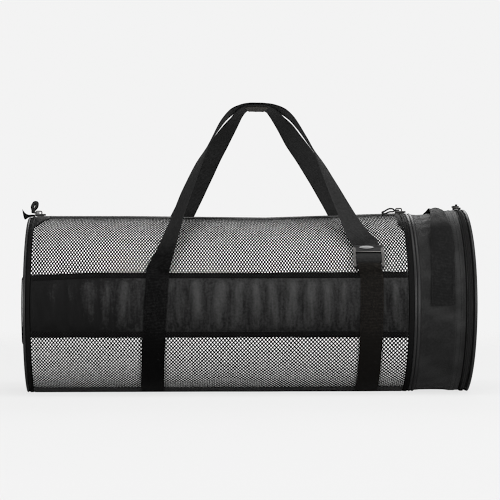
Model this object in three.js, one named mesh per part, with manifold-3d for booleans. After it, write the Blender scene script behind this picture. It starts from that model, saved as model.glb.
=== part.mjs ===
// Carry-on dive bag: a net duffel that lies along X on its base, front towards -Y, with a zipped end
// pocket, gathered side panels and two webbing handles that meet above it. Origin: middle of the base.
import * as THREE from "three";
import { mergeVertices } from "three/addons/utils/BufferGeometryUtils.js";
import Module from "manifold-3d";

const wasm = await Module();
wasm.setup();

// Driving sizes in millimetres, angles in degrees round the bag: 0 is the front, 90 the top, 180 the rear
const GAP = 0.3;
const FLATS = 36;
const CLOTH = 1.2;
const LINING_THICK = 1;
const BASE_LIFT = CLOTH + GAP;
const WEBBING = { width: 32, thick: 1.6, lift: 0.6 };

// Least distance kept between neighbouring rows of a wall: along X in millimetres, round the bag in degrees
const ROW_APART = { along: 2, round: 0.5 };

// Outline of the net along the bag: radius of the tube and height of its top
const OUTLINE = [
  { x: -323, radius: 127.5, top: 249.0 },
  { x: -300, radius: 129.0, top: 250.5 },
  { x: -170, radius: 129.0, top: 250.5 },
  { x: 20, radius: 128.2, top: 248.5 },
  { x: 216, radius: 131.0, top: 255.0 },
  { x: 232, radius: 131.0, top: 255.0 },
  { x: 260, radius: 132.2, top: 257.5 },
  { x: 294, radius: 134.2, top: 261.5 },
  { x: 311, radius: 133.5, top: 260.5 },
];

// Where each band of the bag starts and ends along X
const NET = { from: -317, to: 218 };
const LEFT_BINDING = { from: -318.2, to: -312 };
const SEAM_BINDING = { from: 214.5, to: 222 };
const POCKET = { from: 231.6, to: 294 };
const END_TAPE_INNER = { from: 294.3, to: 297.2 };
const END_COIL = { from: 297.5, to: 302.5 };
const END_TAPE_OUTER = { from: 302.8, to: 305.7 };
const PANEL = { from: -311.5, to: 214, height: 126.8, edge: 16.5, stripFrom: 16.8, stripTo: 20.3 };
const BASE = { from: -311.5, to: 214, edge: 61.4, flat: 70 };

// Round cords sewn into the seams
const PIPING = { sides: 6, top: BASE_LIFT };
const LEFT_PIPING = { x: -320.55, radius: 2.05 };
const SEAM_PIPING_INNER = { x: 224.5, radius: 2.5 };
const SEAM_PIPING_OUTER = { x: 229.1, radius: 2.5 };
const END_PIPING = { x: 308.2, radius: 2.2 };

// End caps, slightly domed
const LEFT_CAP = { x: -319.5, bulge: -6.5, edge: -2.9 };
const RIGHT_CAP = { x: 308.2, bulge: 5, edge: -3.3 };
const CAP_RINGS = [0.35, 0.7, 1];

// Gathers of the side panels: place, half width, height and lean over the panel's half height
const FRONT_FOLDS = [
  { x: -282, half: 17, height: 3.2, lean: 4 },
  { x: -255, half: 10, height: 1.8, lean: -3 },
  { x: -230, half: 13, height: 3.4, lean: -2 },
  { x: -208, half: 10, height: 2.8, lean: 3 },
  { x: -184, half: 12, height: 3.6, lean: 2 },
  { x: -109, half: 11, height: 2.6, lean: -3 },
  { x: -82, half: 13, height: 3.6, lean: -2 },
  { x: -50, half: 14, height: 4.0, lean: 3 },
  { x: -24, half: 12, height: 3.4, lean: 2 },
  { x: 1, half: 12, height: 3.8, lean: -2 },
  { x: 25, half: 11, height: 3.2, lean: -3 },
  { x: 50, half: 13, height: 4.0, lean: 2 },
  { x: 76, half: 13, height: 3.6, lean: 3 },
  { x: 101, half: 12, height: 3.4, lean: -2 },
  { x: 122, half: 9, height: 2.6, lean: 2 },
  { x: 195, half: 11, height: 2.6, lean: -2 },
];
const REAR_FOLDS = [
  { x: -262, half: 16, height: 2.8, lean: 2 },
  { x: -215, half: 14, height: 3.2, lean: -3 },
  { x: -85, half: 15, height: 3.4, lean: 3 },
  { x: -42, half: 14, height: 3.0, lean: -2 },
  { x: 4, half: 15, height: 3.6, lean: 2 },
  { x: 52, half: 14, height: 3.2, lean: -3 },
  { x: 98, half: 13, height: 3.0, lean: 2 },
];
const FOLD_CLEAR = { none: 20, full: 32 };
const FOLD_COLUMNS = [-1, -0.5, 0, 0.5, 1];

// Webbing straps: where they cross the panels, how far they lean at the base and where they end
const LEFT_STRAP = { x: -136, lean: -7.2 };
const RIGHT_STRAP = { x: 163.3, lean: -1.5 };
const STRAP_FOOT = -66.3;
const STRAP_ANGLES = [STRAP_FOOT, -57, -50, -40, -30, -20.3, -16.5, -10, 0, 10, 16.5, 20.3, 26.6];
const STRAP_STEPS = 2;

// Free run of each handle from left to right: place of its middle and turn of the webbing,
// 0 with its width towards the viewer and 90 with its face towards the viewer
const FRONT_RUN = [
  { x: -132.2, y: -121.5, z: 183, turn: 66 },
  { x: -124.3, y: -113.5, z: 203.5, turn: 47 },
  { x: -108, y: -85, z: 250, turn: 29 },
  { x: -93.8, y: -65, z: 288, turn: 26 },
  { x: -75, y: -44, z: 332, turn: 13 },
  { x: -63.3, y: -33, z: 354, turn: 1 },
  { x: -47, y: -18, z: 383, turn: -8 },
  { x: -33, y: -9, z: 400.3, turn: -12 },
  { x: -21, y: -4, z: 408, turn: -12 },
  { x: -8, y: -1, z: 412.2, turn: -12 },
  { x: 7, y: 0, z: 413, turn: -12 },
  { x: 22, y: -1, z: 412.2, turn: -12 },
  { x: 36, y: -4, z: 409, turn: -12 },
  { x: 50, y: -9, z: 401.5, turn: -12 },
  { x: 62, y: -16, z: 389, turn: -8 },
  { x: 83.7, y: -33, z: 354, turn: 1 },
  { x: 95.5, y: -43, z: 334, turn: 13 },
  { x: 109, y: -58, z: 304, turn: 28 },
  { x: 133.4, y: -84, z: 250, turn: 50 },
  { x: 148.3, y: -101, z: 221, turn: 76 },
];
const REAR_RUN = [
  { x: -127, y: 109, z: 199, turn: 90 },
  { x: -101, y: 84, z: 252, turn: 85 },
  { x: -77, y: 62, z: 300, turn: 70 },
  { x: -59.5, y: 42, z: 336, turn: 62 },
  { x: -47, y: 31, z: 358, turn: 53 },
  { x: -32, y: 17, z: 381.5, turn: 36 },
  { x: -22, y: 9, z: 396, turn: 22 },
  { x: -15, y: 4, z: 404.5, turn: 15 },
  { x: -7, y: 0, z: 409, turn: 12 },
  { x: 7, y: 0, z: 409.9, turn: 12 },
  { x: 21, y: 0, z: 408.8, turn: 12 },
  { x: 30.5, y: 4.5, z: 404.4, turn: 15 },
  { x: 38.5, y: 10.5, z: 396, turn: 24 },
  { x: 49.5, y: 18.5, z: 383.5, turn: 38 },
  { x: 64.5, y: 30, z: 362, turn: 52 },
  { x: 82.3, y: 42, z: 339, turn: 60 },
  { x: 106, y: 59, z: 304, turn: 70 },
  { x: 137, y: 84, z: 253, turn: 84 },
  { x: 157, y: 105, z: 208, turn: 90 },
];

// Brown patch under the handles at their highest point
const LABEL = { from: -8, to: 22, width: 27, thick: 0.8, gap: 0.5 };

// Ladder-lock buckle: its place on the bag, its bars up its height and its side rails
const LOCK = { x: 159.3, angle: 30.4, offset: 7.5, inside: 36, rail: 3.5, sides: 10 };
const LOCK_FOOT_BAR = { up: -12.3, radius: 1.6 };
const LOCK_MIDDLE_BAR = { up: 0, radius: 1.9 };
const LOCK_RAIL = [
  { up: -14.6, out: -1.2 },
  { up: -13, out: -2.2 },
  { up: 15, out: -1.8 },
  { up: 17, out: -0.6 },
  { up: 17, out: 1.2 },
  { up: 12, out: 2 },
  { up: -13, out: 2.2 },
  { up: -14.6, out: 1.2 },
];
const LOCK_LIP = [
  { up: 8.6, out: -1.3 },
  { up: 16, out: -1.2 },
  { up: 19, out: 2 },
  { up: 17.8, out: 3 },
  { up: 15.5, out: 1.5 },
  { up: 8.6, out: 1.3 },
];
// The front handle threads down behind the lip, over the middle bar and behind the foot bar
const LOCK_THREAD = [
  { up: 20, out: -2.6, shift: -1.5 },
  { up: 12, out: -2.8, shift: -0.4 },
  { up: 8, out: -2.2, shift: 0 },
  { up: 4.6, out: 0.6, shift: 0 },
  { up: 0, out: 3.1, shift: 0 },
  { up: -4.2, out: 0.6, shift: 0 },
  { up: -7.6, out: -3.6, shift: 0 },
  { up: -11.5, out: -5.3, shift: 0 },
  { up: -15.5, out: -5.5, shift: 0 },
];
// The anchor climbs from the panel and turns round the foot bar
const LOCK_ANCHOR_RISE = [
  { up: -23, out: -5, shift: 3 },
  { up: -19, out: -0.8, shift: 1.5 },
  { up: -15.6, out: 2, shift: 0.4 },
];
const LOCK_ANCHOR_TURN = { radius: 2.9, steps: 6, tail: 3.6 };

// Webbing handles at both ends: where they run and how far they stand off
const GRAB = { foot: 261.6, crown: 266.3, crownWidth: 15.5, drawn: 40, sewn: 24, free: 55, lift: 3.6 };
const END_GRAB = { low: 48, high: 182, sewn: 11, slope: 11, lift: 6.5, steps: 12 };

// Zips: widths across the chain, the tape's reach and heights over the net
const CHAIN = { half: 3, top: 2.1 };
const TAPE = { from: 3.3, to: 11.5, thick: 1 };
const MAIN_ZIP = { from: -310, to: 213 };
const PATCH_LEFT = { from: -311.5, to: -291, fromAngle: 61, toAngle: 79 };
const PATCH_RIGHT = { from: 207, to: 213.9, fromAngle: 62, toAngle: 53 };
const PATCH_TO = 84.2;
const PATCH_SHARES = [0, 0.25, 0.5, 0.75, 1];

// Zip sliders: a tapered plate with a flange down each side, and a bridge that holds the pull
const SLIDER = { length: 15, front: 11, tail: 9.4, plate: 2.4, bevel: 2.2, channel: 6.8, flange: 1.2 };
const BRIDGE = { x: -2.3, length: 10, width: 2.2, rise: 3.4, bar: 1.6 };

// Loop pulls: thin where they pass the bridge, fuller and pinched beyond it; twist turns a standing loop and
// tilt a lying one to the front, and a lying one swings and droops towards its far end
const LOOP = { thin: 1, thinTo: 5, fullFrom: 9, squareness: 0.6, steps: 24, sides: 6 };
const STANDING = { lie: 0, tilt: 0, swing: 0, droop: 0 };
const LYING = { lie: 1, twist: 0, pinch: 0, half: 4.2 };
const SLIDERS = {
  left: { x: -306.5, reach: 18.5, half: 3.3, full: 2.1, twist: 80, pinch: 0.22, ...STANDING },
  right: { x: 217.5, reach: 25, full: 1.05, tilt: 34, swing: 13, droop: 4.2, ...LYING },
};
const END_SLIDER = { x: 300, chain: 1.2, reach: 17, full: 1.2, tilt: 0, swing: 0, droop: 0, ...LYING };

// Leaf-shaped tab beyond the left end of the zip: place along X and height over the net
const TAIL_TAB = [
  { x: -314.5, over: 1.8 },
  { x: -321.5, over: 1.8 },
  { x: -324, over: 0.6 },
  { x: -329, over: -2 },
  { x: -331.6, over: 5 },
  { x: -332.7, over: 12.8 },
  { x: -329, over: 7.5 },
  { x: -324.5, over: 4.8 },
  { x: -319, over: 3.6 },
  { x: -314.5, over: 3.4 },
];
const TAB_ROOT = -318;
const TAB_THICK = 2.2;

const X_AXIS = new THREE.Vector3(1, 0, 0);
const Y_AXIS = new THREE.Vector3(0, 1, 0);
const radians = THREE.MathUtils.degToRad;
const degrees = THREE.MathUtils.radToDeg;

// Radius and centre height of the net at a place along the bag
function outlineAt(x) {
  let row = 0;
  while (row < OUTLINE.length - 2 && x > OUTLINE[row + 1].x) row += 1;
  const a = OUTLINE[row];
  const b = OUTLINE[row + 1];
  const t = (x - a.x) / (b.x - a.x);
  const radius = a.radius + (b.radius - a.radius) * t;
  const top = a.top + (b.top - a.top) * t;
  return { radius, centre: top - radius };
}

// Direction away from the bag's middle line at an angle round it
function outward(angle) {
  return new THREE.Vector3(0, -Math.cos(radians(angle)), Math.sin(radians(angle)));
}

// Point at a height over the net, on a round tube that is flattened where it lies on the floor
function skin(x, angle, over) {
  const { radius, centre } = outlineAt(x);
  const down = -Math.sin(radians(angle));
  const flat = down > 0 ? (centre - BASE_LIFT + over) / down : Infinity;
  const reach = Math.min(radius + over, flat);
  return outward(angle).multiplyScalar(reach).add(new THREE.Vector3(x, 0, centre));
}

// Stations of the outline that lie inside a band, with the band's own ends
function stations(band, extra = []) {
  const clear = ({ x }) => Math.min(x - band.from, band.to - x) > ROW_APART.along;
  const inside = OUTLINE.filter(clear).map((row) => row.x);
  return [band.from, band.to, ...inside, ...extra].sort((a, b) => a - b);
}

// Angles from one to another, with every flat of the bag between them
function arc(from, to) {
  const step = 360 / FLATS;
  const angles = [from];
  for (let k = Math.ceil(from / step); k * step < to; k += 1) {
    const clear = Math.min(k * step - from, to - k * step);
    if (clear > ROW_APART.round) angles.push(k * step);
  }
  return [...angles, to];
}

const RING = Array.from({ length: FLATS }, (_, k) => (k * 360) / FLATS);

// Geometry from points and triangles, with its faces turned outwards
function solid(points, triangles) {
  const volume = triangles.reduce((sum, [a, b, c]) => {
    return sum + points[a].dot(new THREE.Vector3().crossVectors(points[b], points[c]));
  }, 0);
  const turned = volume < 0 ? triangles.map(([a, b, c]) => [a, c, b]) : triangles;
  const geometry = new THREE.BufferGeometry();
  geometry.setFromPoints(points);
  geometry.setIndex(turned.flat());
  return geometry;
}

const straight = (x, angle) => angle;

// Closed wall between an inner and an outer skin; each skin gives a height over the net,
// and turn gives the angle round the bag that a column has at a place along it
function wall({ along, angles, inner, outer, turn = straight, ring = false }) {
  const rows = along.length;
  const columns = angles.length;
  const points = [inner, outer].flatMap((height) => {
    return along.flatMap((x) => angles.map((angle) => skin(x, turn(x, angle), height(x, angle))));
  });
  const at = (side, i, j) => (side * rows + i) * columns + (j % columns);
  const triangles = [];
  const quad = (a, b, c, d) => triangles.push([a, b, c], [a, c, d]);
  const spans = ring ? columns : columns - 1;
  for (let i = 0; i < rows - 1; i += 1) {
    for (let j = 0; j < spans; j += 1) {
      quad(at(1, i, j), at(1, i + 1, j), at(1, i + 1, j + 1), at(1, i, j + 1));
      quad(at(0, i, j), at(0, i, j + 1), at(0, i + 1, j + 1), at(0, i + 1, j));
    }
  }
  for (let j = 0; j < spans; j += 1) {
    quad(at(0, 0, j), at(1, 0, j), at(1, 0, j + 1), at(0, 0, j + 1));
    quad(at(0, rows - 1, j), at(0, rows - 1, j + 1), at(1, rows - 1, j + 1), at(1, rows - 1, j));
  }
  for (let i = 0; i < rows - 1 && !ring; i += 1) {
    quad(at(0, i, 0), at(0, i + 1, 0), at(1, i + 1, 0), at(1, i, 0));
    quad(at(0, i, spans), at(1, i, spans), at(1, i + 1, spans), at(0, i + 1, spans));
  }
  return solid(points, triangles);
}

const level = (height) => () => height;

// Ring of even thickness round the whole bag
function band(place, from, to) {
  return wall({ along: stations(place), angles: RING, inner: level(from), outer: level(to), ring: true });
}

// Closed solid through sections with the same number of corners; a loop joins its two ends
function loft(sections, loop = false) {
  const corners = sections[0].length;
  const points = sections.flat();
  const triangles = [];
  const spans = loop ? sections.length : sections.length - 1;
  for (let i = 0; i < spans; i += 1) {
    const near = i * corners;
    const far = ((i + 1) % sections.length) * corners;
    for (let j = 0; j < corners; j += 1) {
      const next = (j + 1) % corners;
      triangles.push([near + j, near + next, far + next], [near + j, far + next, far + j]);
    }
  }
  const last = (sections.length - 1) * corners;
  for (let j = 1; j < corners - 1 && !loop; j += 1) {
    triangles.push([0, j + 1, j], [last, last + j, last + j + 1]);
  }
  return solid(points, triangles);
}

// Round section of a cord, in the plane of two directions
function roundSection(centre, right, up, radius, sides) {
  return Array.from({ length: sides }, (_, k) => {
    const angle = (k * 2 * Math.PI) / sides;
    const point = centre.clone().addScaledVector(right, radius * Math.cos(angle));
    return point.addScaledVector(up, radius * Math.sin(angle));
  });
}

// Cord sewn round the bag, its top level with the bindings
function piping({ x, radius }) {
  const sections = RING.map((angle) => {
    const centre = skin(x, angle, PIPING.top - radius);
    return roundSection(centre, outward(angle), X_AXIS, radius, PIPING.sides);
  });
  return loft(sections, true);
}

// Domed cap across an end of the bag
function endCap({ x, bulge, edge }) {
  const middle = new THREE.Vector3(x, 0, outlineAt(x).centre);
  const inward = -Math.sign(bulge) * CLOTH;
  const points = [0, inward].flatMap((shift) => {
    const rings = CAP_RINGS.flatMap((part) => {
      return RING.map((angle) => {
        const point = middle.clone().lerp(skin(x, angle, edge), part);
        point.x += bulge * (1 - part * part) + shift;
        return point;
      });
    });
    const pole = middle.clone();
    pole.x += bulge + shift;
    return [pole, ...rings];
  });
  const side = points.length / 2;
  const at = (face, ring, j) => face * side + 1 + ring * FLATS + (j % FLATS);
  const outer = CAP_RINGS.length - 1;
  const triangles = [];
  for (let j = 0; j < FLATS; j += 1) {
    triangles.push([0, at(0, 0, j), at(0, 0, j + 1)], [side, at(1, 0, j + 1), at(1, 0, j)]);
    for (let ring = 0; ring < outer; ring += 1) {
      const [a, b, c, d] = [at(0, ring, j), at(0, ring + 1, j), at(0, ring + 1, j + 1), at(0, ring, j + 1)];
      triangles.push([a, b, c], [a, c, d], [a + side, c + side, b + side], [a + side, d + side, c + side]);
    }
    const [rim, next] = [at(0, outer, j), at(0, outer, j + 1)];
    triangles.push([rim, rim + side, next + side], [rim, next + side, next]);
  }
  return solid(points, triangles);
}

// Angle of the panels' middle line, which runs level along the bag
function panelTilt(x) {
  const { radius, centre } = outlineAt(x);
  return degrees(Math.asin((PANEL.height - centre) / radius));
}

// Height of a panel's gathers, pressed flat under the straps and towards its sewn edges
function gather(folds, x, tilt) {
  const apart = Math.min(Math.abs(x - LEFT_STRAP.x), Math.abs(x - RIGHT_STRAP.x));
  const free = THREE.MathUtils.smoothstep(apart, FOLD_CLEAR.none, FOLD_CLEAR.full);
  const height = folds.reduce((sum, fold) => {
    const t = (x - fold.x - (fold.lean * tilt) / PANEL.edge) / fold.half;
    return Math.abs(t) < 1 ? sum + fold.height * 0.5 * (1 + Math.cos(Math.PI * t)) : sum;
  }, 0);
  const sewn = Math.max(0, 1 - (tilt / PANEL.edge) ** 2);
  return height * free * sewn;
}

// Gathered panel along one side; facing turns a front angle into the angle on that side
function panel(folds, facing) {
  const marks = folds.flatMap((fold) => FOLD_COLUMNS.map((t) => fold.x + t * fold.half));
  const clear = marks.filter((x) => Math.min(x - PANEL.from, PANEL.to - x) > ROW_APART.along);
  const along = stations(PANEL, clear).filter((x, i, all) => i === 0 || x - all[i - 1] > ROW_APART.along);
  const raised = (x, angle) => (Math.abs(angle) < PANEL.edge ? angle : angle + panelTilt(x));
  const height = (base) => (x, angle) => base + gather(folds, x, raised(x, angle) - panelTilt(x));
  return wall({
    along,
    angles: arc(-PANEL.edge, PANEL.edge),
    turn: (x, angle) => facing(raised(x, angle)),
    inner: height(GAP),
    outer: height(GAP + CLOTH),
  });
}

// Flat binding along an edge of a panel
function panelStrip(from, to, facing) {
  const turn = (x, angle) => facing(angle + panelTilt(x));
  const along = stations(PANEL);
  return wall({ along, angles: [from, to], turn, inner: level(GAP), outer: level(BASE_LIFT) });
}

// Strip of cloth that lies on the net
function patch(place, angles, thick) {
  return wall({ along: stations(place), angles, inner: level(GAP), outer: level(GAP + thick) });
}

// Corner patch beside an end of the main zip, its lower edge sloping along the bag
function cornerPatch({ from, to, fromAngle, toAngle }, facing) {
  const low = (x) => THREE.MathUtils.mapLinear(x, from, to, fromAngle, toAngle);
  const turn = (x, share) => facing(THREE.MathUtils.lerp(low(x), PATCH_TO, share));
  const along = PATCH_SHARES.map((share) => THREE.MathUtils.lerp(from, to, share));
  return wall({ along, angles: PATCH_SHARES, turn, inner: level(GAP), outer: level(BASE_LIFT) });
}

// Panel under the bag, flat where it rests
function basePanel() {
  const angles = [-180 + BASE.edge, -180 + BASE.flat, -BASE.flat, -BASE.edge];
  return patch(BASE, angles, CLOTH);
}

const frontSide = (angle) => angle;
const rearSide = (angle) => 180 - angle;

// Middle of a strap where it lies on a panel, with the direction of its width
function strapOnPanel(strap, angle, facing, across) {
  const down = Math.max(0, (PANEL.edge - angle) / (PANEL.edge - STRAP_FOOT));
  const slack = down * (2 - down);
  const over = BASE_LIFT + WEBBING.lift + WEBBING.thick / 2;
  const point = skin(strap.x + strap.lean * slack, facing(angle + panelTilt(strap.x)), over);
  return { point, across: across.clone() };
}

// Free stretch of a handle: its turn is measured between its depth and the inside of the loop
function strapInAir({ x, y, z, turn }, face) {
  return { point: new THREE.Vector3(x, y, z), turn: radians(turn), face };
}

// Place on the buckle: up its height, out from the bag and along its bars
function onLock(up, out, shift = 0) {
  const along = new THREE.Vector3(0, Math.sin(radians(LOCK.angle)), Math.cos(radians(LOCK.angle)));
  const point = skin(LOCK.x, LOCK.angle, LOCK.offset).addScaledVector(along, up);
  return point.addScaledVector(outward(LOCK.angle), out).addScaledVector(X_AXIS, shift);
}

// Direction of a strap's width at one of its places, square to its run
function widthAt(place, run) {
  if (place.across) return place.across;
  const depth = Y_AXIS.clone().addScaledVector(run, -Y_AXIS.dot(run)).normalize();
  const inside = new THREE.Vector3().crossVectors(depth, run);
  const across = depth.multiplyScalar(-Math.cos(place.turn));
  return across.addScaledVector(inside, place.face * Math.sin(place.turn));
}

// Frames of a strap along a smooth curve through its places
function strapFrames(places, steps) {
  const curve = new THREE.CatmullRomCurve3(places.map((place) => place.point), false, "centripetal");
  const last = places.length - 1;
  const widths = places.map((place, i) => widthAt(place, curve.getTangent(i / last)));
  return Array.from({ length: last * steps + 1 }, (_, k) => {
    const i = Math.min(Math.floor(k / steps), last - 1);
    const run = curve.getTangent(k / (last * steps));
    const across = widths[i].clone().lerp(widths[i + 1], k / steps - i);
    across.addScaledVector(run, -across.dot(run)).normalize();
    const out = new THREE.Vector3().crossVectors(across, run);
    return { centre: curve.getPoint(k / (last * steps)), across, out };
  });
}

// Flat ribbon of webbing along frames, moved out from their middle by a lift
function ribbon(frames, width, thick, lift = 0) {
  const corners = [[-1, -1], [1, -1], [1, 1], [-1, 1]];
  const sections = frames.map(({ centre, across, out }) => {
    return corners.map(([side, face]) => {
      const point = centre.clone().addScaledVector(across, (side * width) / 2);
      return point.addScaledVector(out, lift + (face * thick) / 2);
    });
  });
  return loft(sections);
}

// The front handle runs from the left foot over the panel, through the air and into the buckle
function frontHandlePlaces() {
  const angles = STRAP_ANGLES.filter((angle) => angle <= PANEL.stripTo);
  const climb = angles.map((angle) => strapOnPanel(LEFT_STRAP, angle, frontSide, X_AXIS));
  const air = FRONT_RUN.map((row) => strapInAir(row, 1));
  const thread = LOCK_THREAD.map(({ up, out, shift }) => {
    return { point: onLock(up, out, shift), across: X_AXIS.clone().negate() };
  });
  return [...climb, ...air, ...thread];
}

// The rear handle runs from foot to foot in one length
function rearHandlePlaces() {
  const back = X_AXIS.clone().negate();
  const climb = STRAP_ANGLES.map((angle) => strapOnPanel(LEFT_STRAP, angle, rearSide, back));
  const air = REAR_RUN.map((row) => strapInAir(row, -1));
  const descend = [...STRAP_ANGLES].reverse();
  const down = descend.map((angle) => strapOnPanel(RIGHT_STRAP, angle, rearSide, X_AXIS));
  return [...climb, ...air, ...down];
}

// The anchor climbs from the right foot over the panel and turns round the buckle's foot bar
function frontAnchorPlaces() {
  const angles = STRAP_ANGLES.filter((angle) => angle <= PANEL.edge);
  const climb = angles.map((angle) => strapOnPanel(RIGHT_STRAP, angle, frontSide, X_AXIS));
  const rise = LOCK_ANCHOR_RISE.map(({ up, out, shift }) => onLock(up, out, shift));
  const { radius, steps, tail } = LOCK_ANCHOR_TURN;
  const turn = Array.from({ length: steps + 1 }, (_, k) => {
    const angle = (k * Math.PI) / steps;
    return onLock(LOCK_FOOT_BAR.up + radius * Math.sin(angle), radius * Math.cos(angle));
  });
  const end = onLock(LOCK_FOOT_BAR.up - tail, -radius);
  const looped = [...rise, ...turn, end].map((point) => ({ point, across: X_AXIS.clone() }));
  return [...climb, ...looped];
}

// Patch sewn under the rear handle at its highest point
function handleLabel(frames) {
  const crown = frames.filter(({ centre }) => centre.x > LABEL.from && centre.x < LABEL.to);
  const lift = -(WEBBING.thick + LABEL.thick) / 2 - LABEL.gap;
  return ribbon(crown, LABEL.width, LABEL.thick, lift);
}

// A closed geometry as a solid that can be joined to others
function asSolid(geometry) {
  const plain = geometry.clone();
  plain.deleteAttribute("normal");
  plain.deleteAttribute("uv");
  const merged = mergeVertices(plain);
  const vertProperties = new Float32Array(merged.attributes.position.array);
  const triVerts = new Uint32Array(merged.index.array);
  return new wasm.Manifold(new wasm.Mesh({ numProp: 3, vertProperties, triVerts }));
}

// Several closed geometries joined into one
function joined(geometries) {
  const whole = geometries.map(asSolid).reduce((sum, piece) => sum.add(piece));
  const mesh = whole.getMesh();
  const geometry = new THREE.BufferGeometry();
  geometry.setAttribute("position", new THREE.BufferAttribute(mesh.vertProperties, 3));
  geometry.setIndex(new THREE.BufferAttribute(mesh.triVerts, 1));
  return geometry;
}

// Profile up and out of the buckle, drawn along its bars between two places
function lockBar(profile, from, to) {
  return loft([from, to].map((shift) => profile.map(({ up, out }) => onLock(up, out, shift))));
}

// Round profile of one of the buckle's bars
function barProfile({ up, radius }) {
  return Array.from({ length: LOCK.sides }, (_, k) => {
    const angle = (k * 2 * Math.PI) / LOCK.sides;
    return { up: up + radius * Math.cos(angle), out: radius * Math.sin(angle) };
  });
}

// Ladder-lock buckle: two rails, a foot bar, a middle bar and a lip
function ladderLock() {
  const inner = LOCK.inside / 2;
  const outer = inner + LOCK.rail;
  const reach = inner + LOCK.rail / 2;
  const bars = [barProfile(LOCK_FOOT_BAR), barProfile(LOCK_MIDDLE_BAR), LOCK_LIP];
  const rails = [lockBar(LOCK_RAIL, -outer, -inner), lockBar(LOCK_RAIL, inner, outer)];
  return joined([...rails, ...bars.map((profile) => lockBar(profile, -reach, reach))]);
}

// Grab handle over the pocket, sewn at both feet, free and drawn in over the top
function grabHandle() {
  const middle = (angle) => GRAB.foot + (GRAB.crown - GRAB.foot) * Math.sin(radians(angle));
  const sections = arc(0, 180).map((angle) => {
    const x = middle(angle);
    const fromFoot = Math.min(angle, 180 - angle);
    const drawn = THREE.MathUtils.smoothstep(fromFoot, GRAB.drawn, 90);
    const half = THREE.MathUtils.lerp(WEBBING.width, GRAB.crownWidth, drawn) / 2;
    const low = GAP + GRAB.lift * THREE.MathUtils.smoothstep(fromFoot, GRAB.sewn, GRAB.free);
    const high = low + WEBBING.thick;
    return [[x - half, low], [x + half, low], [x + half, high], [x - half, high]].map(([side, over]) => {
      return skin(side, angle, over);
    });
  });
  return loft(sections);
}

// Grab handle on the left end cap, sewn at both ends and standing off between them
function leftEndHandle() {
  const { low, high, sewn, slope, lift, steps } = END_GRAB;
  const half = WEBBING.width / 2;
  const { radius, centre } = outlineAt(LEFT_CAP.x);
  const heights = Array.from({ length: steps + 1 }, (_, k) => low + ((high - low) * k) / steps);
  const sections = heights.map((z) => {
    const part = (z - centre) / (radius + LEFT_CAP.edge);
    const cap = LEFT_CAP.x + LEFT_CAP.bulge * (1 - part * part);
    const fromEnd = Math.min(z - low, high - z);
    const near = cap - GAP - lift * THREE.MathUtils.smoothstep(fromEnd, sewn, sewn + slope);
    const far = near - WEBBING.thick;
    return [[near, -half], [near, half], [far, half], [far, -half]].map(([x, y]) => {
      return new THREE.Vector3(x, y, z);
    });
  });
  return loft(sections);
}

// Angle that a width covers along the top of the net
function spread(x, width) {
  return degrees(width / outlineAt(x).radius);
}

// One tape of the main zip; side is -1 in front of the chain and 1 behind it
function mainTape(side) {
  const angles = [TAPE.from, TAPE.to].map((width) => 90 + side * spread(0, width));
  return patch(MAIN_ZIP, angles, TAPE.thick);
}

function mainChain() {
  const half = spread(0, CHAIN.half);
  return patch(MAIN_ZIP, [90 - half, 90 + half], CHAIN.top - GAP);
}

// Extruded outline of points, from a height up by a depth
function prism(points, bottom, depth) {
  const shape = new THREE.Shape(points.map(([x, y]) => new THREE.Vector2(x, y)));
  return new THREE.ExtrudeGeometry(shape, { depth, bevelEnabled: false }).translate(0, 0, bottom);
}

// Zip slider lying along X, its bridge nearer its tail
function slider() {
  const { length, front, tail, plate, bevel, channel, flange } = SLIDER;
  const end = length / 2;
  const side = [[-end, tail / 2], [end - bevel, front / 2]];
  const nose = [[end, front / 2 - bevel], [end, bevel - front / 2]];
  const mirrored = ([x, y]) => [x, -y];
  const base = prism([...side, ...nose, ...side.map(mirrored).reverse()], 0, plate);
  const inside = [[end - bevel, channel / 2], [-end, channel / 2]];
  const left = prism([...side, ...inside], -flange, flange + plate / 2);
  const right = prism([...side, ...inside].map(mirrored), -flange, flange + plate / 2);
  const foot = BRIDGE.length / 2;
  const post = foot - BRIDGE.bar;
  const top = BRIDGE.rise + BRIDGE.bar;
  const arch = [[-foot, 0], [-post, 0], [-post, BRIDGE.rise], [post, BRIDGE.rise], [post, 0], [foot, 0]];
  const crown = [[foot, BRIDGE.rise], [post, top], [-post, top], [-foot, BRIDGE.rise]];
  const bridge = prism([...arch, ...crown], -BRIDGE.width / 2, BRIDGE.width);
  bridge.rotateX(Math.PI / 2).translate(BRIDGE.x, 0, plate - GAP);
  return joined([base, left, right, bridge]);
}

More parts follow.
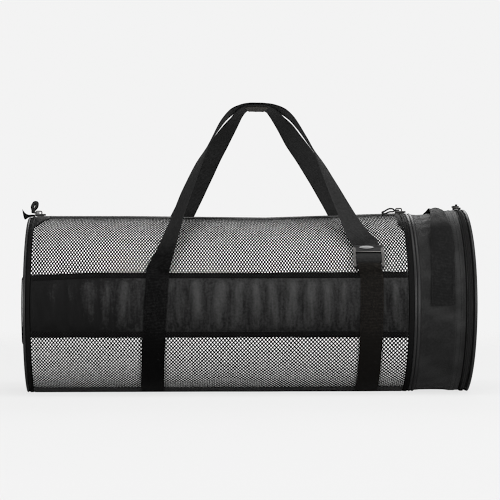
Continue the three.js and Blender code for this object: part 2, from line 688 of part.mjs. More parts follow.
// Loop pull through a slider's bridge: it stands up and turns to the front, or lies along the zip
function loopPull({ reach, half, full, twist, pinch, lie, tilt, swing, droop }) {
  const { smoothstep, lerp } = THREE.MathUtils;
  const start = SLIDER.plate + GAP + LOOP.thin;
  const places = Array.from({ length: LOOP.steps }, (_, k) => {
    const t = (k * 2 * Math.PI) / LOOP.steps;
    const along = (reach * (1 - Math.cos(t))) / 2;
    const clear = smoothstep(along, LOOP.thinTo, LOOP.fullFrom);
    const wide = half * (1 - pinch * clear);
    const side = wide * Math.sign(Math.sin(t)) * Math.abs(Math.sin(t)) ** LOOP.squareness;
    const [turned, tilted] = [radians(twist) * clear, radians(tilt) * clear];
    const x = BRIDGE.x + side * Math.sin(turned) - lie * along;
    const aside = swing * smoothstep(along, LOOP.thinTo, reach);
    const lower = droop * smoothstep(along, reach / 2, reach);
    const y = side * Math.cos(turned) * Math.cos(tilted) - aside;
    const z = start + (1 - lie) * along + side * Math.sin(tilted) - lower;
    return { point: new THREE.Vector3(x, y, z), radius: lerp(LOOP.thin, full, clear) };
  });
  const curve = new THREE.CatmullRomCurve3(places.map(({ point }) => point), true);
  const sections = places.map(({ point, radius }, k) => {
    const run = curve.getTangent(k / LOOP.steps);
    const square = new THREE.Vector3(-(1 - lie), 0, lie);
    square.addScaledVector(run, -square.dot(run)).normalize();
    const right = new THREE.Vector3().crossVectors(run, square);
    return roundSection(point, right, square, radius, LOOP.sides);
  });
  return loft(sections, true);
}

// Leaf-shaped tab that carries the end of the zip past the left cap
function tailTab() {
  const leaf = prism(TAIL_TAB.map(({ x, over }) => [x, over]), -TAB_THICK / 2, TAB_THICK);
  return leaf.rotateX(Math.PI / 2).translate(0, 0, skin(TAB_ROOT, 90, 0).z);
}

// Height over the floor of a slider's plate, clear of the chain all along it
function sliderHeight(x, over) {
  const ends = [x - SLIDER.length / 2, x, x + SLIDER.length / 2];
  return Math.max(...ends.map((place) => skin(place, 90, over).z));
}

// Finishes
const NET_BLACK = { color: 0x202022, roughness: 0.8 };
const CLOTH_BLACK = { color: 0x222224, roughness: 0.62 };
const TRIM_BLACK = { color: 0x161617, roughness: 0.75 };
const WEBBING_BLACK = { color: 0x1c1c1e, roughness: 0.7 };
const PIPING_GREY = { color: 0x343436, roughness: 0.5 };
const PLASTIC_BLACK = { color: 0x18181a, roughness: 0.35 };
const LINING_WHITE = { color: 0xf2f2f0, roughness: 0.9 };
const LABEL_BROWN = { color: 0x43302a, roughness: 0.7 };

const bag = new THREE.Group();

// Adds a named piece to a group
function add(name, geometry, finish, group = bag) {
  const mesh = new THREE.Mesh(geometry, new THREE.MeshStandardMaterial({ metalness: 0, ...finish }));
  mesh.name = name;
  group.add(mesh);
}

// Net tube and its lining
add("mesh_body", band(NET, -CLOTH, 0), NET_BLACK);
add("lining", band(NET, -CLOTH - GAP - LINING_THICK, -CLOTH - GAP), LINING_WHITE);

// Side panels with their bindings, and the base
for (const [side, facing, folds] of [["front", frontSide, FRONT_FOLDS], ["rear", rearSide, REAR_FOLDS]]) {
  const { stripFrom, stripTo } = PANEL;
  add(`${side}_panel`, panel(folds, facing), CLOTH_BLACK);
  add(`${side}_panel_upper_strip`, panelStrip(stripFrom, stripTo, facing), TRIM_BLACK);
  add(`${side}_panel_lower_strip`, panelStrip(-stripTo, -stripFrom, facing), TRIM_BLACK);
}
add("base_panel", basePanel(), CLOTH_BLACK);

// Left end
add("left_binding", band(LEFT_BINDING, GAP, BASE_LIFT), TRIM_BLACK);
add("left_piping", piping(LEFT_PIPING), PIPING_GREY);
add("left_end_cap", endCap(LEFT_CAP), CLOTH_BLACK);
add("left_end_handle", leftEndHandle(), WEBBING_BLACK);

// Pocket at the right end, with its seam, its handle and its zip
add("pocket_seam_binding", band(SEAM_BINDING, GAP, BASE_LIFT), TRIM_BLACK);
add("pocket_piping_inner", piping(SEAM_PIPING_INNER), PIPING_GREY);
add("pocket_piping_outer", piping(SEAM_PIPING_OUTER), PIPING_GREY);
add("pocket_wall", band(POCKET, -CLOTH, 0), CLOTH_BLACK);
add("grab_handle", grabHandle(), WEBBING_BLACK);
add("end_zip_tape_inner", band(END_TAPE_INNER, -CLOTH, -GAP), TRIM_BLACK);
add("end_zip_coil", band(END_COIL, -CLOTH, END_SLIDER.chain), PLASTIC_BLACK);
add("end_zip_tape_outer", band(END_TAPE_OUTER, -CLOTH, -GAP), TRIM_BLACK);
add("end_cap_piping", piping(END_PIPING), PIPING_GREY);
add("right_end_cap", endCap(RIGHT_CAP), CLOTH_BLACK);

// Handles, the anchor, the buckle and the patch under the crown
const rearFrames = strapFrames(rearHandlePlaces(), STRAP_STEPS);
const frontFrames = strapFrames(frontHandlePlaces(), STRAP_STEPS);
const anchorFrames = strapFrames(frontAnchorPlaces(), 1);
add("front_handle_webbing", ribbon(frontFrames, WEBBING.width, WEBBING.thick), WEBBING_BLACK);
add("rear_handle_webbing", ribbon(rearFrames, WEBBING.width, WEBBING.thick), WEBBING_BLACK);
add("front_anchor_webbing", ribbon(anchorFrames, WEBBING.width, WEBBING.thick), WEBBING_BLACK);
add("front_ladder_lock", ladderLock(), PLASTIC_BLACK);
add("handle_label", handleLabel(rearFrames), LABEL_BROWN);

// Zip along the top
add("main_zip_tape_front", mainTape(-1), TRIM_BLACK);
add("main_zip_tape_rear", mainTape(1), TRIM_BLACK);
add("main_zip_coil", mainChain(), PLASTIC_BLACK);
for (const [end, place] of [["left", PATCH_LEFT], ["right", PATCH_RIGHT]]) {
  add(`zip_end_patch_${end}_front`, cornerPatch(place, frontSide), TRIM_BLACK);
  add(`zip_end_patch_${end}_rear`, cornerPatch(place, rearSide), TRIM_BLACK);
}
for (const [end, place] of Object.entries(SLIDERS)) {
  const carrier = new THREE.Group();
  carrier.position.set(place.x, 0, sliderHeight(place.x, CHAIN.top + GAP));
  add(`main_zip_slider_${end}`, slider(), PLASTIC_BLACK, carrier);
  add(`main_zip_pull_${end}`, loopPull(place), PLASTIC_BLACK, carrier);
  bag.add(carrier);
}
const endCarrier = new THREE.Group();
endCarrier.position.copy(skin(END_SLIDER.x, 90, END_SLIDER.chain + GAP));
endCarrier.rotation.z = -Math.PI / 2;
add("end_zip_slider", slider(), PLASTIC_BLACK, endCarrier);
add("end_zip_pull", loopPull(END_SLIDER), PLASTIC_BLACK, endCarrier);
bag.add(endCarrier);
add("zip_tail_tab", tailTab(), TRIM_BLACK);

export default bag;
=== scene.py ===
# Looks of a carry-on dive bag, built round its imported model: net, gathered panels, webbing, zips and seams.
import math

import bmesh
import bpy
import numpy as np
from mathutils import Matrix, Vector


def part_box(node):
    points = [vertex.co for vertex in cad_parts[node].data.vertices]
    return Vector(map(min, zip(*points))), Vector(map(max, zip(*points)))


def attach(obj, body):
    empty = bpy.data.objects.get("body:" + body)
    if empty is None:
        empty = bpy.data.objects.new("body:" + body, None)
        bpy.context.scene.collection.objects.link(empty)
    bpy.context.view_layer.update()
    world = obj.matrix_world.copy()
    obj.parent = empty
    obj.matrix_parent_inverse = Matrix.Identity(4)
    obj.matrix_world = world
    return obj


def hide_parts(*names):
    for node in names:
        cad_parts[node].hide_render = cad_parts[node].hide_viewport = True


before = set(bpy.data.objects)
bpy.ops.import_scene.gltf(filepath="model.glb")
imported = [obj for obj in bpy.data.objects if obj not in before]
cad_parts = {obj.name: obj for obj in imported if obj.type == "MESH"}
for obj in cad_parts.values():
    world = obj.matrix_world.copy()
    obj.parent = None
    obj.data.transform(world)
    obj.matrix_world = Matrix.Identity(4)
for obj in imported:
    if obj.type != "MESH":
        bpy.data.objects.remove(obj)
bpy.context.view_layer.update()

scene = bpy.context.scene

# Lengths are in millimetres until a piece is placed; angles are in degrees round the bag,
# with 0 at the front, 90 at the top and 180 at the rear
MM = 0.001
GAP = 0.3
CLOTH = 1.2
BASE_LIFT = CLOTH + GAP
MEAN_RADIUS = 129
X_AXIS = np.array([1.0, 0, 0])
Y_AXIS = np.array([0, 1.0, 0])

# Steps along the bag and round it in the grid of each cloth
GRIDS = {
    "lining": (60, 240), "panel": (330, 29), "strip": (160, 7), "base": (80, 61), "pocket": (56, 300),
    "patch": (16, 20),
}


def table(columns, rows):
    """Named columns of a table."""
    return dict(zip(columns.split(), np.array(rows, float).T))


def reach(node):
    """Where a node starts and ends along the bag."""
    low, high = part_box(node)
    return low.x / MM, high.x / MM


# Outline of the net along the bag: radius of the tube and height of its top
OUTLINE = table("x radius top", [
    (-323, 127.5, 249.0),
    (-300, 129.0, 250.5),
    (-170, 129.0, 250.5),
    (20, 128.2, 248.5),
    (216, 131.0, 255.0),
    (232, 131.0, 255.0),
    (260, 132.2, 257.5),
    (294, 134.2, 261.5),
    (311, 133.5, 260.5),
])

# Bands of the bag along X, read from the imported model
NET = reach("mesh_body")
PANEL = reach("front_panel")
LEFT_BINDING = reach("left_binding")
SEAM_BINDING = reach("pocket_seam_binding")
POCKET = reach("pocket_wall")
END_TAPES = {"inner": reach("end_zip_tape_inner"), "outer": reach("end_zip_tape_outer")}
END_COIL = reach("end_zip_coil")

# Net: distance between knots along the bag, how much it grows to the right, distance between rows round
# the bag, share of a mesh that is open along and across, sag of its rows between the ends, and the angles
# where it starts and stops
NET_STEP = {"upper": 4.14, "lower": 4.85}
NET_STRETCH = {"upper": 0.0, "lower": 0.12}
NET_ROW = {"upper": 3.3, "lower": 3.0}
NET_HOLE = {"upper": (0.54, 0.59), "lower": (0.6, 0.66)}
NET_SAG = {"upper": 9, "lower": 0}
NET_FROM = {"upper": 13, "lower": -15}
NET_TO = {"upper": 89, "lower": -66}
# Unevenness of its rows: height, length along the bag and number of rows of each wave
NET_WAVES = [(0.7, 31, 12), (0.5, 17, -7)]
# Half depth of the cord and its height over the tube
NET_DEPTH = 0.25
NET_OVER = -0.35

# Lining: top, thickness, and the angles from a panel's middle line between which it turns from dark to white;
# the dark behind the panels is painted shade
LINING_TOP = -0.8
LINING_THICK = 1
LINING_SHADE = (17.2, 19.4)

# Panels: height of their middle line, half angle, their bindings, and the dip of the front one's upper edge
# towards the left end
PANEL_HEIGHT = 126.8
PANEL_EDGE = 16.5
STRIP = (16.8, 20.3)
STRIP_NET = {"step": 4.14, "row": 2.3, "rows": 5, "from": 16.5, "lift": 0.1}
STRIP_RIPPLE = {"height": 0.15, "length": 5.5, "drift": 31}
DIP = {"full": -311, "none": -215, "angle": -1.5}
BASE_EDGE = 61.4

# Gathers of the side panels: place, half width, height and lean over the panel's half height
FRONT_FOLDS = table("x half height lean", [
    (-282, 17, 3.2, 4), (-255, 10, 1.8, -3), (-230, 13, 3.4, -2), (-208, 10, 2.8, 3),
    (-184, 12, 3.6, 2), (-109, 11, 2.6, -3), (-82, 13, 3.6, -2), (-50, 14, 4.0, 3),
    (-24, 12, 3.4, 2), (1, 12, 3.8, -2), (25, 11, 3.2, -3), (50, 13, 4.0, 2),
    (76, 13, 3.6, 3), (101, 12, 3.4, -2), (122, 9, 2.6, 2), (195, 11, 2.6, -2),
])
REAR_FOLDS = table("x half height lean", [
    (-262, 16, 2.8, 2), (-215, 14, 3.2, -3), (-85, 15, 3.4, 3), (-42, 14, 3.0, -2),
    (4, 15, 3.6, 2), (52, 14, 3.2, -3), (98, 13, 3.0, 2),
])
FOLDS = {"front": FRONT_FOLDS, "rear": REAR_FOLDS}
SIDES = tuple(FOLDS)
FOLD_CLEAR = (20, 32)
FOLD_RISE = 1.25
FOLD_FULLNESS = 0.8
PANEL_PUFF = 1.1
# Fine creases and the puckers along the seams: height, length, and lengths over which they drift and fade
CREASE = {"height": 0.6, "length": 2.9, "drift": 23, "fade": 41}
PUCKER = {"height": 0.4, "length": 1.75, "drift": 29}
# Painted light and shade of the panels, paler on their folds and towards their upper edge where light falls:
# from which height over the puff and over how much more, its share at the lower edge, what the upper edge
# adds to folds and to all, how it rises up the panel, and the darker left end
PANEL_PAINTED_SHADING = {"from": 0.4, "over": 4.8, "low": 0.45, "upper": 0.55, "all": 0.25, "dark": 0.85}
PANEL_FADE = (-0.8, 1.0)
PANEL_DARK_END = (-300, -130)

# Pipings: place along X and radius of the cord, their tops level with the bindings
PIPINGS = {
    "left_piping": (-320.55, 2.05),
    "pocket_piping_inner": (224.5, 2.5),
    "pocket_piping_outer": (229.1, 2.5),
    "end_cap_piping": (308.2, 2.2),
}

# End caps: place, bulge and edge below the net; depth of their creases and sags
LEFT_CAP = {"x": -319.5, "bulge": -6.5, "edge": -2.9}
RIGHT_CAP = {"x": 308.2, "bulge": 5.0, "edge": -3.3}
CAP_CREASE = 0.54
CAP_SAG = 0.42

# Pocket: its sewn facing beside the zip, depth of its wrinkles, rise of the facing, sink and puckers of the
# wall, and where the end zip's tapes turn dark, measured from the coil
FACING = (280, 289)
WRINKLE = {"sink": -0.9, "long": 0.75, "small": 0.22}
FACING_RISE = 0.45
POCKET_SINK = -0.35
POCKET_PUCKER = 0.12
TAPE_DARK = (3.6, 4.6)

# Webbing, its selvedge, its weave and that of the tapes; and the straps: place on the panels, lean at the
# base, angles of their places and steps from one place to the next
WEBBING = {"width": 32, "thick": 1.6, "lift": 0.6}
SELVEDGE = {"from": 0.93, "light_and_wear": 0.15}
WEBBING_WEAVE = {"thread": 1.6, "cord": 2.1}
TAPE_WEAVE = {"rib": 1.3, "thread": 0.7}
LEFT_STRAP = {"x": -136, "lean": -7.2}
RIGHT_STRAP = {"x": 163.3, "lean": -1.5}
STRAP_ANGLES = [-66.3, -57, -50, -40, -30, -20.3, -16.5, -10, 0, 10, 16.5, 20.3, 26.6]
STRAP_STEPS = 6
ANCHOR_STEPS = 4
# Painted light and shade of the handles: heights between which they turn pale where light falls on their free
# run, places between which they grow paler to the right as painted light, heights of the feet painted darker
# as shade, and how strong each of these is
HANDLE_LIT = (185, 235)
HANDLE_SHADE = (-90, 90)
STRAP_FEET = (60, 100)
STRAP_LIGHT_AND_SHADE = {"free": 0.68, "right": 0.42, "buckle": 1.1, "feet": 0.4, "anchor_feet": 0.6}

# Free run of each handle from left to right: its middle and the turn of the webbing,
# 0 with its width towards the viewer and 90 with its face towards the viewer
FRONT_RUN = [
    (-132.2, -121.5, 183, 66), (-124.3, -113.5, 203.5, 47), (-108, -85, 250, 29),
    (-93.8, -65, 288, 26), (-75, -44, 332, 13),
    (-63.3, -33, 354, 1), (-47, -18, 383, -8), (-33, -9, 400.3, -12), (-21, -4, 408, -12),
    (-8, -1, 412.2, -12), (7, 0, 413, -12), (22, -1, 412.2, -12), (36, -4, 409, -12),
    (50, -9, 401.5, -12), (62, -16, 389, -8), (83.7, -33, 354, 1), (95.5, -43, 334, 13),
    (109, -58, 304, 28), (133.4, -84, 250, 50), (148.3, -101, 221, 76),
]
REAR_RUN = [
    (-127, 109, 199, 90), (-101, 84, 252, 85), (-77, 62, 300, 70), (-59.5, 42, 336, 62),
    (-47, 31, 358, 53), (-32, 17, 381.5, 36), (-22, 9, 396, 22), (-15, 4, 404.5, 15),
    (-7, 0, 409, 12), (7, 0, 409.9, 12), (21, 0, 408.8, 12), (30.5, 4.5, 404.4, 15),
    (38.5, 10.5, 396, 24), (49.5, 18.5, 383.5, 38), (64.5, 30, 362, 52), (82.3, 42, 339, 60),
    (106, 59, 304, 70), (137, 84, 253, 84), (157, 105, 208, 90),
]
LABEL = {"from": -8, "to": 22, "above": 400, "width": 27, "thick": 0.8, "gap": 0.5}

# Ladder-lock buckle and the webbing through it: up its height, out from the bag, along its bars
LOCK = {"x": 159.3, "angle": 30.4, "offset": 7.5, "inside": 36, "foot_up": -12.3, "lip_up": 12}
# Paleness painted on the fronts of the rails, as a highlight
RAIL_HIGHLIGHT = 0.45
LOCK_THREAD = [
    (20, -2.6, -1.5), (12, -2.9, -0.4), (8, -2.5, 0), (4.6, 0.6, 0), (0, 3.1, 0),
    (-4.2, 0.6, 0), (-7.6, -3.6, 0), (-11.5, -5.3, 0), (-15.5, -5.5, 0),
]
LOCK_ANCHOR_RISE = [(-23, -5, 3), (-19, -0.8, 1.5), (-15.6, 2, 0.4)]
LOCK_ANCHOR_TURN = {"radius": 2.9, "steps": 6, "tail": 3.6}
# Webbing inside the buckle: how far before its middle it starts, above which height, and how wide it spreads
IN_LOCK = {"before": 8, "above": 150, "width": 35.4}
# Polished thumb rest on the lip, pale so that its colour paints a highlight
REST = {"up": 15.4, "out": 2.2, "shift": -2.6, "half": 10.6, "high": 2.5, "thick": 1.2, "fullness": 0.75}

# Edges of hard pieces: bends in degrees that are flattened, softened and kept sharp, and steps round an edge
BEVEL = {"flat": 4, "soft": 50, "sharp": 30, "steps": 3}

# Grab handles at both ends
GRAB = {
    "foot": 261.6, "crown": 266.3, "crown_width": 15.5, "drawn": 40, "sewn": 24, "free": 55, "lift": 3.6,
    "crumple": 0.12, "crown_crumple": 0.45,
}
END_GRAB = {"low": 48, "high": 182, "sewn": 11, "slope": 11, "lift": 6.5, "turn": 0.079}

# Zips: width and height of the chain, reach of the tape, and the teeth: distance from one to the next, length
# and place as shares of the chain's half width, and thickness as a share of that distance
CHAIN = {"half": 3, "top": 2.1, "base": 0.9, "teeth": 1.1, "sunk": 1.2}
END_CHAIN = {"top": 1.2, "base": 0.2, "teeth": 0.9, "sunk": 0.9}
TAPE = {"from": 3.3, "to": 11.5, "thick": 1, "seam": 9.5}
TEETH = {"pitch": 1.9, "long": 1.15, "aside": 0.45, "thick": 0.3}
ZIP_STEPS = 120

# Corner patches of the main zip: angle of the lower edge at their left and right ends, and of the upper one
PATCHES = {"left": (61, 79), "right": (62, 53)}
PATCH_TO = 84.2

# Zip sliders and their loop pulls: length, how far a loop lies back along the zip before it stands up, and
# its lean; half width at the bridge, at its foot and at its head; thickness; turn; tilt, swing and droop of a
# lying one; the knob at its end; and how far it stays thin and where it is full
SLIDER_PLATE = 2.4
SLIDER_LENGTH = 15
SLIDER_X = {"left": -306.5, "right": 217.5, "end": 300}
BRIDGE_X = -2.3
LYING = {
    "back": 1000, "lean": 0, "half": 4.2, "foot": 4.2, "head": 4.2, "twist": 0, "knob": 0.5, "thin_to": 5,
    "full_from": 9,
}
PULLS = {
    "left": {
        "reach": 24.4, "back": 9.4, "lean": 0.32, "half": 3.5, "foot": 0.8, "head": 3.4, "full": 2.5,
        "twist": 80, "tilt": 0, "swing": 0, "droop": 0, "knob": 0, "thin_to": 7.8, "full_from": 11.4,
    },
    "right": {"reach": 25, "full": 1.05, "tilt": 34, "swing": 13, "droop": 4.2, **LYING},
    "end": {"reach": 17, "full": 1.2, "tilt": 0, "swing": 0, "droop": 0, **LYING},
}
LOOP = {"thin": 1, "squareness": 0.6, "bend": 2, "grown": 0.8, "knob_from": 0.85, "steps": 56, "sides": 12}

# Leaf-shaped tab past the left end of the zip: place and height of its lower and upper edges
TAB_LOWER = [(-314.5, 1.8), (-319, 1.8), (-324, 0.6), (-329, -2), (-331.6, 5), (-332.7, 12.6)]
TAB_UPPER = [(-314.5, 5), (-319, 5), (-324, 4.9), (-327.5, 6.4), (-330.2, 9), (-332.6, 12.8)]
TAB_ROOT = -318
TAB_THICK = 2.2

# Stitches: distance from one to the next, length and half thickness of the thread, half width of a sewn box,
# heights of the seams over what they hold, and the frames between which the grab handles are sewn down
STITCH = {"pitch": 3.2, "length": 2.3, "radius": 0.28, "box": 13}
SEAM_OVER = {"strap": 0.05, "binding": 0.02, "facing": 0.15, "panel": 0.1}
GRAB_BOXES = [(2, 11), (79, 88)]
END_GRAB_BOXES = [(1, 6), (54, 59)]
FACING_SEAM = 1.5
STRIP_SEAM = 0.7

# Camera, floor and light: places and sizes in metres, lens and sensor in millimetres, brightness of the
# floor and the sky, power of the lights in watts, and the filter and sharpening of the picture
EYE = Vector((-0.112, -2.798, 0.203))
LOOK_AT = Vector((-0.0022, 0, 0.203))
LENS = 138.3
SENSOR = 36
FLOOR_RADIUS = 4
FLOOR_FADE = (1.1, 2.2)
BACKDROP = 0.896
FLOOR_PAINT = 0.62
FLOOR_GLOW = 0.8
FLOOR_BOUNCE = 0.45
SKY_LIGHT = 0.3
SOFTBOXES = {
    "left_key": {"at": (-1.5, -2.4, 0.45), "towards": (0, 0, 0.12), "size": (1.4, 1.2), "power": 52},
    "right_key": {"at": (1.5, -2.4, 0.45), "towards": (0, 0, 0.12), "size": (1.4, 1.2), "power": 52},
    "top_light": {"at": (0.1, -0.5, 2.2), "towards": (0, 0, 0.2), "size": (2.4, 1.2), "power": 36},
    "right_light": {"at": (2.4, -0.7, 1.0), "towards": (0.2, 0, 0.15), "size": (0.8, 1.4), "power": 18},
    "rear_light": {"at": (0.3, 2.4, 1.8), "towards": (0, 0, 0.1), "size": (1.6, 1.0), "power": 35},
}
FILTER_WIDTH = 1.2
SHARPNESS = 0.022


# Arrays of points and directions
def smooth(value, low, high):
    """Soft step from 0 at low to 1 at high."""
    t = np.clip((value - low) / (high - low), 0, 1)
    return t * t * (3 - 2 * t)


def grid(rows, columns):
    return np.meshgrid(rows, columns, indexing="ij")


def ring(count):
    """Even steps round the bag, in degrees."""
    return np.arange(count) * 360 / count


def turns(count):
    """Even steps round a small section, in radians."""
    return np.arange(count) * 2 * math.pi / count


def unit(vectors):
    return vectors / np.linalg.norm(vectors, axis=-1, keepdims=True)


def square_to(vectors, run):
    """Directions turned at right angles to a run."""
    return unit(vectors - (vectors * run).sum(-1, keepdims=True) * run)


def run_along(path):
    """Length of a path up to each of its points."""
    return np.concatenate([[0], np.cumsum(np.linalg.norm(np.diff(path, axis=0), axis=1))])


def on_run(at, run, values):
    """Points or directions at lengths along a run."""
    return np.stack([np.interp(at, run, column) for column in values.T], 1)


def round_sections(middles, first, second, sides):
    """Oval sections round middles, with two half axes each."""
    turn = turns(sides)[None, :, None]
    return middles[:, None] + first[:, None] * np.cos(turn) + second[:, None] * np.sin(turn)


# Shape of the bag
def outline_at(x):
    """Radius and centre height of the net at a place along the bag."""
    radius = np.interp(x, OUTLINE["x"], OUTLINE["radius"])
    return radius, np.interp(x, OUTLINE["x"], OUTLINE["top"]) - radius


def outward(angle):
    """Direction away from the bag's middle line."""
    turn = np.radians(np.asarray(angle, float))
    return np.stack([np.zeros_like(turn), -np.cos(turn), np.sin(turn)], -1)


def skin(x, angle, over):
    """Points at a height over the net, on a tube that is flat where it lies on the floor."""
    x, angle, over = np.broadcast_arrays(*(np.asarray(v, float) for v in (x, angle, over)))
    radius, centre = outline_at(x)
    down = np.maximum(-np.sin(np.radians(angle)), 1e-6)
    along = np.minimum(radius + over, (centre - BASE_LIFT + over) / down)
    middle = np.stack([x, np.zeros_like(x), centre], -1)
    return middle + along[..., None] * outward(angle)


def facing(side, angle):
    """Angle round the bag of an angle up from the middle of its front or its rear."""
    return angle if side == "front" else 180 - angle


def panel_tilt(x):
    """Angle of the panels' middle line, which runs level along the bag."""
    radius, centre = outline_at(x)
    return np.degrees(np.arcsin((PANEL_HEIGHT - centre) / radius))


def dip(side, x):
    """How far the upper edge of the front panel drops towards the left end."""
    return DIP["angle"] * (1 - smooth(x, DIP["full"], DIP["none"])) * (side == "front")


def beside_panel(side, sign, x, angle):
    """Angle round the bag of a place above or below a panel's middle line."""
    drop = dip(side, x) if sign > 0 else 0
    return facing(side, sign * angle + panel_tilt(x) + drop)


def spread(width):
    """Angle that a width covers round the net."""
    return math.degrees(width / MEAN_RADIUS)


def flat_cloth(x, angle):
    """Places on the cloth when it is laid flat."""
    return np.stack([x, np.radians(angle) * MEAN_RADIUS], -1)


def crown(along, rounding=0.75):
    """Height of a flat band across its width, from 1 in the middle to less at its edges."""
    t = 2 * (along - along[0]) / (along[-1] - along[0]) - 1
    return 1 - rounding * t ** 6


# Meshes as arrays
class Part:
    """Points, blocks of faces, a place on the flat cloth for each corner, and painted light and wear for each
    point.
    """

    def __init__(self, points, faces, flats, light_and_wear=None):
        self.points = np.asarray(points, float).reshape(-1, 3)
        self.faces = faces
        self.flats = flats
        self.light_and_wear = np.zeros(len(self.points)) if light_and_wear is None else np.asarray(light_and_wear, float).ravel()

    def outwards(self):
        """The part with its faces turned outwards."""
        volume = 0.0
        for block in self.faces:
            a, b, c = (self.points[block[:, k]] for k in (0, 1, 2))
            volume += (a * np.cross(b, c)).sum()
            if block.shape[1] == 4:
                d = self.points[block[:, 3]]
                volume += (a * np.cross(c, d)).sum()
        if volume < 0:
            self.faces = [block[:, ::-1] for block in self.faces]
            self.flats = [flat[:, ::-1] for flat in self.flats]
        return self


def join(parts):
    """Several parts as one."""
    faces, flats, count = [], [], 0
    for part in parts:
        faces += [block + count for block in part.faces]
        flats += part.flats
        count += len(part.points)
    points = np.concatenate([part.points for part in parts])
    return Part(points, faces, flats, np.concatenate([part.light_and_wear for part in parts]))


def quads(rows, columns, wrap_rows=False, wrap_columns=False):
    """Corners of the faces of a grid, as indices of points and as rows and columns."""
    i, j = grid(
        np.arange(rows if wrap_rows else rows - 1),
        np.arange(columns if wrap_columns else columns - 1),
    )
    i, j = i.ravel(), j.ravel()
    corners = [(i, j), (i + 1, j), (i + 1, j + 1), (i, j + 1)]
    return np.stack([(a % rows) * columns + b % columns for a, b in corners], 1), corners


def shell(outer, inner, flat, wrap=False, light_and_wear=None):
    """Closed wall between two grids of points; wrap joins its last column to its first."""
    rows, columns = outer.shape[:2]
    half = rows * columns
    ids, corners = quads(rows, columns, wrap_columns=wrap)
    places = np.stack([flat[a, b] for a, b in corners], 1)
    faces = [ids, ids[:, ::-1] + half]
    flats = [places, places[:, ::-1]]
    across = np.arange(columns if wrap else columns - 1)
    down = np.arange(rows - 1)
    last_row, last_column = np.full_like(across, rows - 1), np.full_like(down, columns - 1)
    rims = [
        ((across * 0, across), (across * 0, across + 1)),
        ((last_row, across + 1), (last_row, across)),
    ]
    if not wrap:
        rims += [((down + 1, down * 0), (down, down * 0)), ((down, last_column), (down + 1, last_column))]
    for (ai, aj), (bi, bj) in rims:
        a, b = ai * columns + aj % columns, bi * columns + bj % columns
        faces.append(np.stack([a, b, b + half, a + half], 1))
        flats.append(np.stack([flat[ai, aj], flat[bi, bj], flat[bi, bj], flat[ai, aj]], 1))
    both = None if light_and_wear is None else np.concatenate([light_and_wear.ravel(), light_and_wear.ravel()])
    return Part(np.concatenate([outer.reshape(-1, 3), inner.reshape(-1, 3)]), faces, flats, both).outwards()


def sweep(sections, loop=False, light_and_wear=None):
    """Closed solid through sections with the same number of corners; a loop joins its two ends."""
    rows, columns = sections.shape[:2]
    ids, corners = quads(rows, columns, wrap_rows=loop, wrap_columns=True)
    middles = sections.mean(1)
    u, v = (run_along(np.concatenate([path, path[:1]])) for path in (sections[0], middles))
    places = np.stack([np.stack([u[b], v[a]], -1) for a, b in corners], 1)
    points, faces, flats = [sections.reshape(-1, 3)], [ids], [places]
    if not loop:
        for row, tip in ((0, rows * columns), (rows - 1, rows * columns + 1)):
            edge = row * columns + np.arange(columns)
            fan = np.stack([edge, np.roll(edge, -1), np.full(columns, tip)], 1)
            faces.append(fan if row else fan[:, ::-1])
            flats.append(np.zeros((columns, 3, 2)))
            points.append(middles[row][None])
    if light_and_wear is not None:
        light_and_wear = np.concatenate([light_and_wear.ravel(), np.zeros(0 if loop else 2)])
    return Part(np.concatenate(points), faces, flats, light_and_wear).outwards()


def copies(template, faces, centres, axes):
    """A small closed shape repeated at many places, each with its own three axes."""
    points = centres[:, None] + np.einsum("kc,ncd->nkd", template, axes)
    step = np.arange(len(centres))[:, None, None] * len(template)
    blocks = [(block[None] + step).reshape(-1, block.shape[1]) for block in faces]
    return Part(points, blocks, [np.zeros(block.shape + (2,)) for block in blocks])


def bead(length, wide, high, sides=6):
    """Long bead with pointed ends: its points and faces."""
    turn = turns(sides)
    section = np.stack([np.zeros(sides), np.cos(turn) * wide, np.sin(turn) * high], 1)
    near, far = section - 0.3 * length * X_AXIS, section + 0.3 * length * X_AXIS
    tips = np.array([[-0.5 * length, 0, -0.4 * high], [0.5 * length, 0, -0.4 * high]])
    j = np.arange(sides)
    k = (j + 1) % sides
    barrel = np.stack([j, j + sides, k + sides, k], 1)[:, ::-1]
    ends = [
        np.stack([k, np.full(sides, 2 * sides), j], 1),
        np.stack([j + sides, np.full(sides, 2 * sides + 1), k + sides], 1),
    ]
    return np.concatenate([near, far, tips]), [barrel, np.concatenate(ends)[:, ::-1]]


def spaced(path, outs, pitch, near=0.4):
    """Places at even steps along a path, with the directions along, across and out."""
    run = run_along(path)
    count = max(2, int(run[-1] / pitch))
    at = (np.arange(count) + 0.5) * run[-1] / count
    along = unit(on_run(at + near, run, path) - on_run(at - near, run, path))
    out = square_to(on_run(at, run, outs), along)
    return on_run(at, run, path), np.stack([along, np.cross(out, along), out], 1)


def stitches(path, outs):
    """Row of thread stitches along a path on the cloth."""
    centres, axes = spaced(path, outs, STITCH["pitch"])
    return copies(*bead(STITCH["length"], STITCH["radius"], STITCH["radius"]), centres, axes)


def wall(along, angles, inner, outer, wrap=False, light_and_wear=None):
    """Wall over a grid of places and angles, between two heights over the net given as numbers or grids."""
    x, angle = grid(along, angles)
    ends = np.append(angles, angles[0] + 360) if wrap else angles
    flat = flat_cloth(*grid(along, ends))
    return shell(skin(x, angle, outer), skin(x, angle, inner), flat, wrap, light_and_wear)


